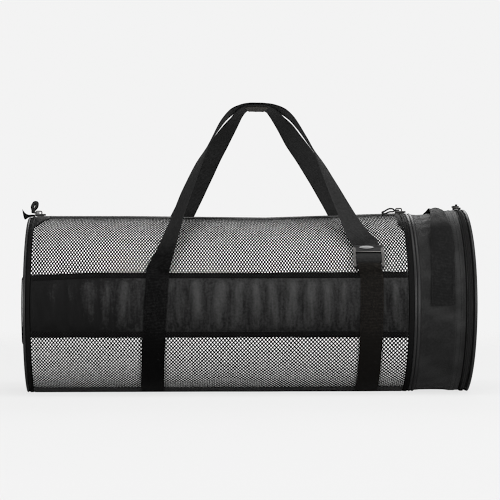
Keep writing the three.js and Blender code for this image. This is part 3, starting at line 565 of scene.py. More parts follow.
def band(place_along, low, high, rows=9, count=180, ripple=0.08, light_and_wear=0.0):
    """Sewn band round the whole bag, with rounded edges and a slight ripple; painted shading and wear may
    change across it.
    """
    along = np.linspace(*place_along, rows)
    angles = ring(count)
    wave = ripple * np.sin(np.radians(angles) * 61) * np.sin(np.radians(angles) * 17 + 1)
    outer = low + (high - low) * crown(along)[:, None] + wave[None]
    worn = np.broadcast_to(light_and_wear, rows)[:, None] + np.zeros((1, count))
    return wall(along, angles, low, np.maximum(outer, low + 0.1), wrap=True, light_and_wear=worn)


# Placing a piece
def settle(piece, finish, slot, *nodes):
    """Links a piece, gives it its finish and says what carries it and what it stands for."""
    scene.collection.objects.link(piece)
    piece.data.materials.clear()
    piece.data.materials.append(finish)
    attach(piece, "root")
    if nodes:
        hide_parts(*nodes)
    return piece


def place(name, part, finish, slot, *nodes, sharp=42):
    """Makes a piece from a part, riding on the bag, in place of the nodes that it stands for."""
    mesh = bpy.data.meshes.new(name)
    mesh.from_pydata(part.points * MM, [], [face for block in part.faces for face in block.tolist()])
    cloth = mesh.uv_layers.new(name="cloth")
    cloth.data.foreach_set("uv", np.concatenate([flat.ravel() for flat in part.flats]))
    # Painted light and shade, and wear, of each point
    light_and_wear = mesh.attributes.new("light_and_wear", "FLOAT", "POINT")
    light_and_wear.data.foreach_set("value", part.light_and_wear.astype(np.float32))
    mesh.shade_smooth()
    mesh.set_sharp_from_angle(angle=math.radians(sharp))
    return settle(bpy.data.objects.new(name, mesh), finish, slot, *nodes)


# Shader maths: a value in a node tree, with arithmetic that adds Math nodes
class Value:
    def __init__(self, nodes, socket):
        self.nodes = nodes
        self.socket = socket

    def math(self, operation, other=0.0, turned=False):
        pair = (other, self) if turned else (self, other)
        return self.nodes.add("ShaderNodeMath", {"operation": operation}, {0: pair[0], 1: pair[1]})

    def __add__(self, other):
        return self.math("ADD", other)

    def __sub__(self, other):
        return self.math("SUBTRACT", other)

    def __rsub__(self, other):
        return self.math("SUBTRACT", other, turned=True)

    def __mul__(self, other):
        return self.math("MULTIPLY", other)

    __radd__ = __add__
    __rmul__ = __mul__

    def sin(self):
        return self.math("SINE")

    def wave(self, length):
        """Sine of a place on the cloth, one turn in a length in millimetres."""
        return (self * (2 * math.pi / length)).sin()

    def above(self, low, high):
        """Soft step from 0 at low to 1 at high."""
        settings = {"interpolation_type": "SMOOTHSTEP"}
        inputs = {"Value": self, "From Min": low, "From Max": high}
        return self.nodes.add("ShaderNodeMapRange", settings, inputs)


class Nodes:
    """Node tree of a finish or of the sky."""

    def __init__(self, owner):
        owner.use_nodes = True
        self.owner = owner
        self.tree = owner.node_tree
        self.tree.nodes.clear()

    def add(self, kind, settings=None, inputs=None, output=0):
        """A node with its settings and the values or links of its sockets; gives one of its outputs."""
        node = self.tree.nodes.new(kind)
        for key, value in (settings or {}).items():
            setattr(node, key, value)
        for key, value in (inputs or {}).items():
            if isinstance(value, Value):
                self.tree.links.new(value.socket, node.inputs[key])
            else:
                node.inputs[key].default_value = value
        return Value(self, node.outputs[output]) if node.outputs else None

    def cloth(self):
        """Places along and across the flat cloth, in millimetres."""
        flat = self.add("ShaderNodeUVMap", {"uv_map": "cloth"})
        return [self.add("ShaderNodeSeparateXYZ", None, {0: flat}, k) for k in (0, 1)]

    def noise(self, scale, detail=3.0, stretch=(1, 1, 1)):
        """Cloudy value from 0 to 1 over the object, with features of one part in scale of a metre."""
        where = self.add("ShaderNodeTexCoord", None, None, 3)
        where = self.add("ShaderNodeVectorMath", {"operation": "MULTIPLY"}, {0: where, 1: stretch})
        return self.add("ShaderNodeTexNoise", None, {"Vector": where, "Scale": scale, "Detail": detail})

    # Painted light and shade, and wear, read from the piece
    def light_and_wear(self):
        return self.add("ShaderNodeAttribute", {"attribute_name": "light_and_wear"}, None, 2)

    def mix(self, factor, dark, light):
        """Colour between two others."""
        settings = {"data_type": "RGBA", "clamp_factor": True}
        return self.add("ShaderNodeMix", settings, {0: factor, 6: dark, 7: light}, 2)

    def bump(self, height, distance):
        """Normal of a relief, with its depth in millimetres."""
        return self.add("ShaderNodeBump", None, {"Distance": distance * MM, "Height": height})

    def finish(self, colour, roughness, normal, **uniform):
        """Surface of a finish; uniform values are set on the shader's own sockets."""
        inputs = {"Base Color": colour, "Roughness": roughness, "Normal": normal}
        inputs.update({key.replace("_", " "): value for key, value in uniform.items()})
        surface = self.add("ShaderNodeBsdfPrincipled", None, inputs)
        self.add("ShaderNodeOutputMaterial", None, {"Surface": surface})
        return self.owner


def grey(value, warm=0.0):
    """Nearly neutral colour of a brightness, warmer or cooler."""
    return (value * (1 + warm), value, value * (1 - warm), 1.0)


def new_finish(name):
    return Nodes(bpy.data.materials.new(name))


# Finishes: each takes the brightness of its dark and light parts
def woven_nylon(name, dark, light, thread=0.55, specular=0.09, warm=0.0, ridges=0.75, streak=0.0):
    """Plain woven cloth with a faint sheen, mottled and streaked, and paler along its ridges as painted
    light.
    """
    n = new_finish(name)
    u, v = n.cloth()
    weave = u.wave(2 * thread) * v.wave(2 * thread)
    cloud = n.noise(34, 4.0)
    mottle = n.noise(330, 3.0)
    streaks = n.noise(260, 4.0, (1, 1, 0.1))
    shade = n.light_and_wear() * ridges + cloud * 0.45 + weave * 0.1 + mottle * 0.8 + streaks * streak
    shade = shade - (0.47 + 0.5 * streak)
    colour = n.mix(shade, grey(dark, warm), grey(light, warm))
    normal = n.bump(weave * 0.5 + n.noise(150, 2.0, (1, 1, 0.4)) * 1.6 + mottle, 0.18)
    return n.finish(
        colour, cloud * 0.16 + 0.5, normal,
        Specular_IOR_Level=specular, Sheen_Weight=0.06, Sheen_Roughness=0.4)


def ribbed_tape(name, dark, light):
    """Tape with fine ribs across it."""
    n = new_finish(name)
    u, v = n.cloth()
    ribs = u.wave(TAPE_WEAVE["rib"])
    cloud = n.noise(60)
    colour = n.mix(cloud * 0.7 + ribs * 0.15 + n.light_and_wear() * 0.5 - 0.1, grey(dark), grey(light))
    normal = n.bump(ribs * 0.5 + v.wave(TAPE_WEAVE["thread"]) * 0.25, 0.14)
    return n.finish(colour, cloud * 0.2 + 0.55, normal, Specular_IOR_Level=0.06)


def strap_webbing(name, dark, light, warm=0.0):
    """Heavy webbing: cords across it that dip over and under lengthwise threads, with a fuzzy surface."""
    n = new_finish(name)
    u, v = n.cloth()
    threads = u.wave(WEBBING_WEAVE["thread"])
    cords = (v * (2 * math.pi / WEBBING_WEAVE["cord"]) + threads * 0.9).sin()
    cloud = n.noise(45, 4.0)
    fuzz = n.noise(330, 3.0)
    # The attribute carries the handles' painted light and shade as well as wear on the selvedges
    shade = cords * 0.1 + cloud * 0.3 + fuzz * 0.9 + n.light_and_wear() * 0.7 - 0.55
    colour = n.mix(shade, grey(dark, warm), grey(light, warm))
    normal = n.bump(cords * 0.5 + threads * 0.3 + fuzz * 0.3, 0.22)
    return n.finish(
        colour, fuzz * 0.15 + 0.5, normal,
        Specular_IOR_Level=0.035, Sheen_Weight=0.02, Sheen_Roughness=0.4)


def net_cord(name):
    """Knitted cord of the net: even black, with a twisted surface."""
    n = new_finish(name)
    twist = n.noise(900, 3.0)
    return n.finish(grey(0.0012), twist * 0.25 + 0.5, n.bump(twist, 0.12), Specular_IOR_Level=0.05)


def white_lining(name):
    """Bright cloth behind the net, with faint creases, painted dark as shade where it lies behind the panels.
    """
    n = new_finish(name)
    cloud = n.noise(18, 3.0)
    colour = n.mix(cloud, (0.86, 0.86, 0.855, 1), (0.92, 0.92, 0.915, 1))
    colour = n.mix(n.light_and_wear(), colour, grey(0.002))
    normal = n.bump(n.noise(90, 2.0), 0.2)
    return n.finish(colour, cloud * 0.1 + 0.75, normal, Specular_IOR_Level=0.1)


def piping_cord(name):
    """Smooth coated cord in a seam, with random scuffs, paler along its outer crest."""
    n = new_finish(name)
    cloud = n.noise(80, 4.0)
    scuff = n.noise(300, 2.0).above(0.5, 0.75)
    colour = n.mix(cloud * 0.5 + scuff * 0.3 + n.light_and_wear() * 0.4, grey(0.005), grey(0.016))
    normal = n.bump(n.noise(500, 3.0), 0.1)
    return n.finish(colour, cloud * 0.15 + 0.36, normal, Specular_IOR_Level=0.22)


def moulded_plastic(name, dark, light, rough, specular, edge_highlight=0.1):
    """Moulded plastic with a fine grain, paler on its softened edges as painted highlights."""
    n = new_finish(name)
    grain = n.noise(1500, 2.0)
    cloud = n.noise(120, 3.0)
    colour = n.mix(cloud * 0.6 + grain * 0.3, grey(dark), grey(light))
    colour = n.mix(n.light_and_wear() * (cloud * 0.8 + 0.6), colour, grey(edge_highlight, 0.04))
    return n.finish(colour, cloud * 0.18 + rough, n.bump(grain, 0.05), Specular_IOR_Level=specular)


def sewing_thread(name, dark, light):
    """Twisted thread."""
    n = new_finish(name)
    twist = n.noise(2200, 2.0, (1, 1, 2))
    colour = n.mix(twist, grey(dark), grey(light))
    return n.finish(colour, twist * 0.2 + 0.45, n.bump(twist, 0.08), Specular_IOR_Level=0.08)


def pale_floor(name):
    """Pale studio floor that throws little light back on the bag and fades out far from it."""
    n = new_finish(name)
    where = n.add("ShaderNodeTexCoord", None, None, 3)
    far = n.add("ShaderNodeVectorMath", {"operation": "LENGTH"}, {0: where}, 1).above(*FLOOR_FADE)
    colour = n.mix(n.noise(3, 2.0), grey(FLOOR_PAINT), grey(FLOOR_PAINT * 1.02))
    paint = n.add("ShaderNodeBsdfDiffuse", None, {"Color": colour})
    glow = n.add("ShaderNodeEmission", None, {"Color": grey(BACKDROP), "Strength": 1.0})
    shown = n.add("ShaderNodeMixShader", None, {0: FLOOR_GLOW, 1: paint, 2: glow})
    bounce = n.add("ShaderNodeBsdfDiffuse", None, {"Color": grey(FLOOR_BOUNCE)})
    seen = n.add("ShaderNodeLightPath")
    lit = n.add("ShaderNodeMixShader", None, {0: seen, 1: bounce, 2: shown})
    clear = n.add("ShaderNodeBsdfTransparent")
    surface = n.add("ShaderNodeMixShader", None, {0: far, 1: lit, 2: clear})
    n.add("ShaderNodeOutputMaterial", None, {"Surface": surface})
    return n.owner


PANEL_CLOTH = woven_nylon("panel_cloth", 0.001, 0.034, ridges=0.7, streak=0.9)
POCKET_CLOTH = woven_nylon("pocket_cloth", 0.0055, 0.023)
CAP_CLOTH = woven_nylon("cap_cloth", 0.006, 0.022)
LABEL_CLOTH = woven_nylon("label_cloth", 0.018, 0.034, thread=0.5, specular=0.08, warm=0.25)
TRIM = ribbed_tape("trim_tape", 0.0015, 0.0045)
ZIP_TAPE = ribbed_tape("zip_tape", 0.06, 0.1)
END_TAPE = ribbed_tape("end_zip_tape", 0.0015, 0.058)
STRIP_BACK = ribbed_tape("strip_backing", 0.004, 0.009)
STRAP = strap_webbing("strap_webbing", 0.0004, 0.02)
# Paler copy of the strap webbing: light painted on the grab handle
LIT_GRAB_STRAP = strap_webbing("grab_webbing_painted_light", 0.005, 0.028)
ANCHOR = strap_webbing("anchor_webbing", 0.003, 0.024, warm=0.14)
NET_CORD = net_cord("net_cord")
LINING = white_lining("white_lining")
PIPING = piping_cord("piping_cord")
PLASTIC = moulded_plastic("buckle_plastic", 0.003, 0.008, rough=0.3, specular=0.22, edge_highlight=0.13)
# Pale polished plastic: a painted highlight on the thumb rest
HIGHLIGHT_PLASTIC = moulded_plastic("plastic_painted_highlight", 0.12, 0.2, rough=0.12, specular=0.5)
RUBBER = moulded_plastic("pull_rubber", 0.003, 0.009, rough=0.5, specular=0.15)
COIL = moulded_plastic("zip_coil", 0.003, 0.008, rough=0.34, specular=0.3)
SUNK_COIL = moulded_plastic("sunk_zip_coil", 0.008, 0.016, rough=0.6, specular=0.05)
THREAD = sewing_thread("sewing_thread", 0.0008, 0.003)


# Net and lining
def net(along, rows, step, hole, at):
    """Net of crossing cords with diamond holes, laid by a function of place, row and depth."""
    columns = int((along[1] - along[0]) / step) + 1
    j, i = grid(np.arange(rows), np.arange(columns))
    x = along[0] + (i + 0.5 * (j % 2)) * step
    row, column = (index.ravel() for index in grid(np.arange(1, rows - 1), np.arange(columns - 1)))
    between = column + row % 2
    knots = [(row, column), (row - 1, between), (row, column + 1), (row + 1, between)]
    ids = [a * columns + b for a, b in knots]
    middle = x[row, column] + step / 2
    edges = [
        at(middle + a * step / 2 * hole[0], row + b * hole[1], 0.0)
        for a, b in ((-1, 0), (0, -1), (1, 0), (0, 1))
    ]
    count, holes = rows * columns, len(row)
    edge_ids = [2 * count + k * holes + np.arange(holes) for k in range(4)]
    faces = []
    for k, m in ((0, 1), (1, 2), (2, 3), (3, 0)):
        faces.append(np.stack([ids[k], ids[m], edge_ids[m], edge_ids[k]], 1))
        faces.append(np.stack([ids[m] + count, ids[k] + count, edge_ids[k], edge_ids[m]], 1))
    layers = [at(x, j, depth).reshape(-1, 3) for depth in (NET_DEPTH, -NET_DEPTH)]
    used, faces = np.unique(np.concatenate(faces), return_inverse=True)
    faces = faces.reshape(-1, 4)
    return Part(np.concatenate(layers + edges)[used], [faces], [np.zeros(faces.shape + (2,))]).outwards()


def body_net(half, side):
    """Net above or below a panel; the rows of the upper one sag between the two ends of the bag."""
    low, high = NET_FROM[half], NET_TO[half]
    length = NET[1] - NET[0]

    def at(x, row, depth):
        share = (x - NET[0]) / length
        sag = NET_SAG[half] * (2 * share - 1) ** 2
        wave = sum(height * np.sin(x / run + row / count) for height, run, count in NET_WAVES)
        turn = np.degrees((row * NET_ROW[half] + sag + wave) / MEAN_RADIUS)
        place_along = NET[0] + length * (share + NET_STRETCH[half] * (share ** 2 - share))
        angle = facing(side, low + turn * np.sign(high - low))
        return skin(np.clip(place_along, *NET), angle, NET_OVER + depth)

    rows = int(math.radians(abs(high - low)) * MEAN_RADIUS / NET_ROW[half])
    return net(NET, rows, NET_STEP[half], NET_HOLE[half], at)


def lining():
    """White wall inside the net, painted dark as shade behind the panels."""
    steps, count = GRIDS["lining"]
    x, angle = grid(np.linspace(*NET, steps), ring(count))
    from_front = abs((angle - panel_tilt(x) + 180) % 360 - 180)
    from_rear = abs(angle - 180 + panel_tilt(x))
    shade_under_panels = 1 - smooth(np.minimum(from_front, from_rear), *LINING_SHADE)
    return wall(x[:, 0], angle[0], LINING_TOP - LINING_THICK, LINING_TOP, wrap=True, light_and_wear=shade_under_panels)


for side in SIDES:
    for half in ("upper", "lower"):
        nodes = ["mesh_body"] if (side, half) == ("front", "upper") else []
        place(f"net_{side}_{half}", body_net(half, side), NET_CORD, "net", *nodes, sharp=180)
place("lining_cloth", lining(), LINING, "lining", "lining")


# Gathered panels with their net-covered bindings
def gather(folds, x, tilt):
    """Height of a panel over its flat cloth: gathers, puff and creases, pressed flat under the straps."""
    share = tilt / PANEL_EDGE
    apart = np.minimum(abs(x - LEFT_STRAP["x"]), abs(x - RIGHT_STRAP["x"]))
    free = smooth(apart, *FOLD_CLEAR)
    bend = (x[..., None] - folds["x"] - folds["lean"] * share[..., None]) / folds["half"]
    bell = 0.5 * (1 + np.cos(np.pi * np.clip(bend, -1, 1)))
    height = FOLD_RISE * (folds["height"] * bell ** FOLD_FULLNESS).sum(-1)
    creases = CREASE["height"] * np.sin(x / CREASE["length"] + 2 * share + np.sin(x / CREASE["drift"]))
    creases = creases * np.sin(x / CREASE["fade"] + 1.5 * share)
    pucker = PUCKER["height"] * np.sin(x / PUCKER["length"] + 2 * np.sin(x / PUCKER["drift"]))
    pucker = pucker * abs(share) ** 3
    sewn = 1 - abs(share) ** 5
    return (PANEL_PUFF + height + creases + pucker) * free * sewn


def panel(side):
    """Gathered cloth of a panel, with painted light: paler on its folds and towards its upper edge."""
    steps, count = GRIDS["panel"]
    tilts = PANEL_EDGE * np.sin(np.linspace(-1, 1, count) * math.pi / 2)
    x, tilt = grid(np.linspace(*PANEL, steps), tilts)
    height = gather(FOLDS[side], x, tilt)
    angle = facing(side, tilt + panel_tilt(x) + dip(side, x) * (tilt / PANEL_EDGE + 1) / 2)
    fade = smooth(tilt / PANEL_EDGE, *PANEL_FADE)
    # Painted light and shade: paler on the folds and towards the upper edge, darker towards the left end
    raised = np.clip((height - PANEL_PUFF - PANEL_PAINTED_SHADING["from"]) / PANEL_PAINTED_SHADING["over"], 0, 1)
    pale = raised * (PANEL_PAINTED_SHADING["low"] + PANEL_PAINTED_SHADING["upper"] * fade) + PANEL_PAINTED_SHADING["all"] * fade
    pale = pale - PANEL_PAINTED_SHADING["dark"] * (1 - smooth(x, *PANEL_DARK_END))
    outer, inner = skin(x, angle, BASE_LIFT + height), skin(x, angle, GAP + height)
    return shell(outer, inner, flat_cloth(x, tilt), light_and_wear=pale)


def strip(side, sign):
    """Binding along an edge of a panel: the backing under its net."""
    steps, count = GRIDS["strip"]
    angles = np.linspace(*STRIP, count)
    x, angle = grid(np.linspace(*PANEL, steps), angles)
    ripple = STRIP_RIPPLE["height"] * np.sin(x / STRIP_RIPPLE["length"] + np.sin(x / STRIP_RIPPLE["drift"]))
    turned = beside_panel(side, sign, x, angle)
    outer = skin(x, turned, GAP + CLOTH * crown(angles) + ripple)
    return shell(outer, skin(x, turned, GAP), flat_cloth(x, angle))


def strip_net(side, sign):
    """Net folded over a binding."""
    def at(x, row, depth):
        x = np.clip(x, *PANEL)
        turn = STRIP_NET["from"] + np.degrees(row * STRIP_NET["row"] / MEAN_RADIUS)
        return skin(x, beside_panel(side, sign, x, turn), BASE_LIFT + STRIP_NET["lift"] + depth)

    return net(PANEL, STRIP_NET["rows"], STRIP_NET["step"], NET_HOLE["upper"], at)


for side in SIDES:
    cloth = place(f"{side}_panel_cloth", panel(side), PANEL_CLOTH, "cloth", f"{side}_panel")
    for edge, sign in (("upper", 1), ("lower", -1)):
        name = f"{side}_panel_{edge}_strip"
        place(f"{name}_tape", strip(side, sign), STRIP_BACK, "trim", name)
        place(f"{name}_net", strip_net(side, sign), NET_CORD, "net", sharp=180)

# Base
base_steps, base_count = GRIDS["base"]
base_angles = np.linspace(-180 + BASE_EDGE, -BASE_EDGE, base_count)
base_top = GAP + CLOTH * crown(base_angles, rounding=0.5)
base = wall(np.linspace(*PANEL, base_steps), base_angles, GAP, base_top)
place("base_cloth", base, PANEL_CLOTH, "cloth", "base_panel")

# Bindings and pipings
place("left_binding_tape", band(LEFT_BINDING, GAP, BASE_LIFT), TRIM, "trim", "left_binding")
place("pocket_seam_tape", band(SEAM_BINDING, GAP, BASE_LIFT), TRIM, "trim", "pocket_seam_binding")


def piping(x, radius, count=240, sides=12):
    """Cord sewn round the bag, slightly uneven and paler along its outer crest."""
    angles = ring(count)
    size = radius * (1 - 0.03 * np.sin(np.radians(angles) * 43)[:, None] ** 2)
    middles = skin(x, angles, BASE_LIFT - radius)
    sections = round_sections(middles, size * outward(angles), size * X_AXIS, sides)
    light_and_wear = np.tile(np.maximum(0, np.cos(turns(sides))) ** 4, (count, 1))
    return sweep(sections, loop=True, light_and_wear=light_and_wear)


for node, (x, radius) in PIPINGS.items():
    place(f"{node}_cord", piping(x, radius), PIPING, "piping", node)


# End caps
def cap(spec, rings=26, count=160):
    """Domed cap with soft creases that run in from its seam."""
    share, angle = grid(np.linspace(0, 1, rings + 1)[1:], ring(count))
    middle = np.array([spec["x"], 0, outline_at(spec["x"])[1]])
    points = middle + (skin(spec["x"], angle, spec["edge"]) - middle) * share[..., None]
    turn, out = np.radians(angle), np.sign(spec["bulge"])
    crease = CAP_CREASE * share ** 3 * (1 - share ** 8)
    crease = crease * np.sin(turn * 23 + 2 * np.sin(turn * 5)) * np.sin(turn * 3 + 1)
    sag = CAP_SAG * np.sin(share * 5 + turn * 2) * (1 - share ** 2) * share
    points[..., 0] += spec["bulge"] * (1 - share ** 2) - out * (abs(crease) + abs(sag))
    pole = middle + spec["bulge"] * X_AXIS
    behind = out * CLOTH * X_AXIS
    half, rim = rings * count, (rings - 1) * count
    ids, corners = quads(rings, count, wrap_columns=True)
    j = np.arange(count)
    k = (j + 1) % count
    edge_faces = np.stack([rim + k, rim + j, rim + j + half, rim + k + half], 1)
    fans = [
        np.stack([np.full(count, 2 * half), j, k], 1),
        np.stack([np.full(count, 2 * half + 1), k + half, j + half], 1),
    ]
    flat = np.concatenate([points, points[:, :1]], 1)[..., 1:]
    places = np.stack([flat[a, b] for a, b in corners], 1)
    rim_flat = np.stack([flat[-1, j + 1], flat[-1, j], flat[-1, j], flat[-1, j + 1]], 1)
    fan_flat = np.stack([np.tile(middle[1:], (count, 1)), flat[0, j], flat[0, j + 1]], 1)
    layers = [points.reshape(-1, 3), (points - behind).reshape(-1, 3), [pole, pole - behind]]
    faces = [ids, ids[:, ::-1] + half, edge_faces, *fans]
    flats = [places, places[:, ::-1], rim_flat, fan_flat, fan_flat[:, [0, 2, 1]]]
    return Part(np.concatenate(layers), faces, flats).outwards()


place("left_cap_cloth", cap(LEFT_CAP), CAP_CLOTH, "cloth", "left_end_cap")
place("right_cap_cloth", cap(RIGHT_CAP), CAP_CLOTH, "cloth", "right_end_cap")


# Pocket at the right end
def pocket():
    """Wall of the pocket: soft wrinkles round it and a sewn facing beside its zip, with painted light on the
    wrinkles.
    """
    steps, count = GRIDS["pocket"]
    along, angles = np.linspace(*POCKET, steps), ring(count)
    x, angle = grid(along, angles)
    turn = np.radians(angle)
    inside = smooth(x, POCKET[0], POCKET[0] + 9) * (1 - smooth(x, FACING[0] - 8, FACING[0]))
    long_folds = np.sin(turn * 11 + 0.06 * x + 2 * np.sin(turn * 3)) * np.sin(turn * 4 + 0.03 * x)
    small = np.sin(turn * 37 - 0.11 * x + 3 * np.sin(turn * 5))
    wrinkle = WRINKLE["sink"] + WRINKLE["long"] * long_folds + WRINKLE["small"] * small
    raised = FACING_RISE * smooth(x, FACING[0] - 1, FACING[0]) * (1 - smooth(x, FACING[1], FACING[1] + 1))
    pucker = POCKET_PUCKER * np.sin(turn * 150) * (1 - inside)
    height = wrinkle * inside + raised + POCKET_SINK + pucker
    # Painted light and shade: paler on the wrinkles' ridges and on the raised facing, darker in their hollows
    light_and_wear = np.clip(0.5 + 0.5 * wrinkle + raised, 0, 1)
    return wall(along, angles, height - CLOTH, height, wrap=True, light_and_wear=light_and_wear)


end_middle = sum(END_COIL) / 2
place("pocket_cloth", pocket(), POCKET_CLOTH, "cloth", "pocket_wall")
for name, place_along in END_TAPES.items():
    from_coil = abs(np.linspace(*place_along, 5) - end_middle)
    tape = band(place_along, -CLOTH, -GAP, rows=5, ripple=0.02, light_and_wear=-smooth(from_coil, *TAPE_DARK))
    place(f"end_zip_tape_{name}_cloth", tape, END_TAPE, "trim", f"end_zip_tape_{name}")


# Webbing
def webbing_section(thick):
    """Section of webbing: side from -1 to 1 and face of each corner, flat with rounded selvedges."""
    right = np.array([0.3, 0.6, 0.88, 0.95, 0.985, 1])
    sides = np.concatenate([-right[::-1], [0], right])
    faces = np.sqrt(1 - sides ** 14)
    upper = np.stack([sides, faces * thick / 2], 1)
    lower = np.stack([sides, -faces * thick / 2], 1)[1:-1]
    return np.concatenate([upper, lower[::-1]])


def ribbon(frames, width=WEBBING["width"], thick=WEBBING["thick"], lift=0.0, light_and_wear=0.0, crumple=0.0):
    """Webbing along frames of middle, across and out; width, painted light and wear, and crumpling may change
    along it.
    """
    middle, across, out = frames
    section = webbing_section(thick)
    run = run_along(middle)
    uneven = 1 + 0.005 * np.sin(run / 19) + 0.004 * np.sin(run / 7.3)
    half = np.broadcast_to(width, len(middle)) / 2 * uneven
    side = section[None, :, :1] * half[:, None, None]
    waves = np.sin(section[None, :, :1] * 5 + run[:, None, None] / 11) + np.sin(run / 6.5)[:, None, None]
    face = section[None, :, 1:] + lift + np.broadcast_to(crumple, len(middle))[:, None, None] * waves
    points = middle[:, None] + across[:, None] * side + out[:, None] * face
    edge = SELVEDGE["light_and_wear"] * (abs(section[:, 0]) > SELVEDGE["from"])
    return sweep(points, light_and_wear=np.broadcast_to(light_and_wear, len(middle))[:, None] + edge[None])


def smooth_run(points, steps):
    """Points and directions along a smooth curve through places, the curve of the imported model."""
    ends = np.concatenate([[2 * points[0] - points[1]], points, [2 * points[-1] - points[-2]]])
    middle, runs = [], []
    for k in range(1, len(ends) - 2):
        p0, p1, p2, p3 = ends[k - 1:k + 3]
        d0, d1, d2 = (math.sqrt(np.linalg.norm(b - a)) for a, b in ((p0, p1), (p1, p2), (p2, p3)))
        start = d1 * ((p1 - p0) / d0 - (p2 - p0) / (d0 + d1) + (p2 - p1) / d1)
        end = d1 * ((p2 - p1) / d1 - (p3 - p1) / (d1 + d2) + (p3 - p2) / d2)
        count = steps + (k == len(ends) - 3)
        t = (np.arange(count) / steps)[:, None]
        c2 = -3 * p1 + 3 * p2 - 2 * start - end
        c3 = 2 * p1 - 2 * p2 + start + end
        middle.append(p1 + start * t + c2 * t ** 2 + c3 * t ** 3)
        runs.append(start + 2 * c2 * t + 3 * c3 * t ** 2)
    return np.concatenate(middle), unit(np.concatenate(runs))


def strap_frames(places, steps=STRAP_STEPS):
    """Frames of a strap through places of a point, a width direction or none, a turn and a face."""
    middle, runs = smooth_run(np.array([point for point, _, _, _ in places]), steps)
    widths = []
    for k, (_, across, turn, face) in enumerate(places):
        if across is None:
            depth = square_to(Y_AXIS, runs[k * steps])
            inside = np.cross(depth, runs[k * steps])
            across = -math.cos(math.radians(turn)) * depth + face * math.sin(math.radians(turn)) * inside
        widths.append(across)
    across = on_run(np.arange(len(middle)) / steps, np.arange(len(widths)), np.array(widths))
    across = square_to(across, runs)
    return middle, across, np.cross(across, runs)


def on_panel(strap, side, across):
    """Places of a strap from its foot up over a panel."""
    over = BASE_LIFT + WEBBING["lift"] + WEBBING["thick"] / 2
    places = []
    for angle in STRAP_ANGLES:
        down = max(0, (PANEL_EDGE - angle) / (PANEL_EDGE - STRAP_ANGLES[0]))
        slack = down * (2 - down)
        turned = facing(side, angle + panel_tilt(strap["x"]))
        places.append((skin(strap["x"] + strap["lean"] * slack, turned, over), across, 0, 1))
    return places


LOCK_MIDDLE = skin(LOCK["x"], LOCK["angle"], LOCK["offset"])
LOCK_OUT = outward(LOCK["angle"])
LOCK_RISE = np.cross(LOCK_OUT, X_AXIS)


def on_lock(up, out, shift=0.0):
    """Place on the buckle: up its height, out from the bag and along its bars."""
    return LOCK_MIDDLE + up * LOCK_RISE + out * LOCK_OUT + shift * X_AXIS


def in_air(run, face):
    """Places of a strap's free run."""
    return [(np.array(row[:3], float), None, row[3], face) for row in run]


def front_handle():
    """From the left foot over the panel, through the air and into the buckle."""
    thread = [(on_lock(*row), -X_AXIS, 0, 1) for row in LOCK_THREAD]
    climb = on_panel(LEFT_STRAP, "front", X_AXIS)[:-1]
    return strap_frames(climb + in_air(FRONT_RUN, 1) + thread)


def rear_handle():
    """From foot to foot in one length."""
    down = on_panel(RIGHT_STRAP, "rear", X_AXIS)[::-1]
    return strap_frames(on_panel(LEFT_STRAP, "rear", -X_AXIS) + in_air(REAR_RUN, -1) + down)


def front_anchor():
    """From the right foot over the panel and round the buckle's foot bar."""
    climb = on_panel(RIGHT_STRAP, "front", X_AXIS)[:-2]
    radius, foot = LOCK_ANCHOR_TURN["radius"], LOCK["foot_up"]
    round_bar = [
        (foot + radius * math.sin(angle), radius * math.cos(angle))
        for angle in np.linspace(0, math.pi, LOCK_ANCHOR_TURN["steps"] + 1)
    ]
    end = [(foot - LOCK_ANCHOR_TURN["tail"], -radius)]
    looped = [(on_lock(*row), X_AXIS, 0, 1) for row in LOCK_ANCHOR_RISE + round_bar + end]
    return strap_frames(climb + looped, ANCHOR_STEPS)


def in_buckle(frames):
    """1 where a handle runs through the buckle, 0 elsewhere."""
    x, y, z = frames[0].T
    return smooth(x, LOCK["x"] - IN_LOCK["before"], LOCK["x"]) * (y < 0) * (z > IN_LOCK["above"])


def at_feet(frames):
    """1 at the feet of a strap, 0 further up."""
    return 1 - smooth(frames[0][:, 2], *STRAP_FEET)


def handle_light_and_shade(frames):
    """Painted light and shade of a handle: paler where it stands free as painted light, paler in the buckle,
    and darker at its feet as painted shade.
    """
    x, _, z = frames[0].T
    free = smooth(z, *HANDLE_LIT) * (STRAP_LIGHT_AND_SHADE["free"] + STRAP_LIGHT_AND_SHADE["right"] * smooth(x, *HANDLE_SHADE))
    return np.maximum(free, STRAP_LIGHT_AND_SHADE["buckle"] * in_buckle(frames)) - STRAP_LIGHT_AND_SHADE["feet"] * at_feet(frames)


front_frames, rear_frames, anchor_frames = front_handle(), rear_handle(), front_anchor()
front_width = WEBBING["width"] + (IN_LOCK["width"] - WEBBING["width"]) * in_buckle(front_frames)
front_strap = ribbon(front_frames, front_width, light_and_wear=handle_light_and_shade(front_frames))
rear_strap = ribbon(rear_frames, light_and_wear=handle_light_and_shade(rear_frames))
# Painted shade: the anchor strap turns darker towards its foot
anchor_strap = ribbon(anchor_frames, light_and_wear=-STRAP_LIGHT_AND_SHADE["anchor_feet"] * at_feet(anchor_frames))
place("front_handle_strap", front_strap, STRAP, "webbing", "front_handle_webbing")
place("rear_handle_strap", rear_strap, STRAP, "webbing", "rear_handle_webbing")
place("front_anchor_strap", anchor_strap, ANCHOR, "webbing", "front_anchor_webbing")


def label_patch():
    """Patch under the crown of the rear handle."""
    x, _, z = rear_frames[0].T
    crown_part = (x > LABEL["from"]) & (x < LABEL["to"]) & (z > LABEL["above"])
    lift = -(WEBBING["thick"] + LABEL["thick"]) / 2 - LABEL["gap"]
    return ribbon([array[crown_part] for array in rear_frames], LABEL["width"], LABEL["thick"], lift)


place("handle_label_patch", label_patch(), LABEL_CLOTH, "label", "handle_label")


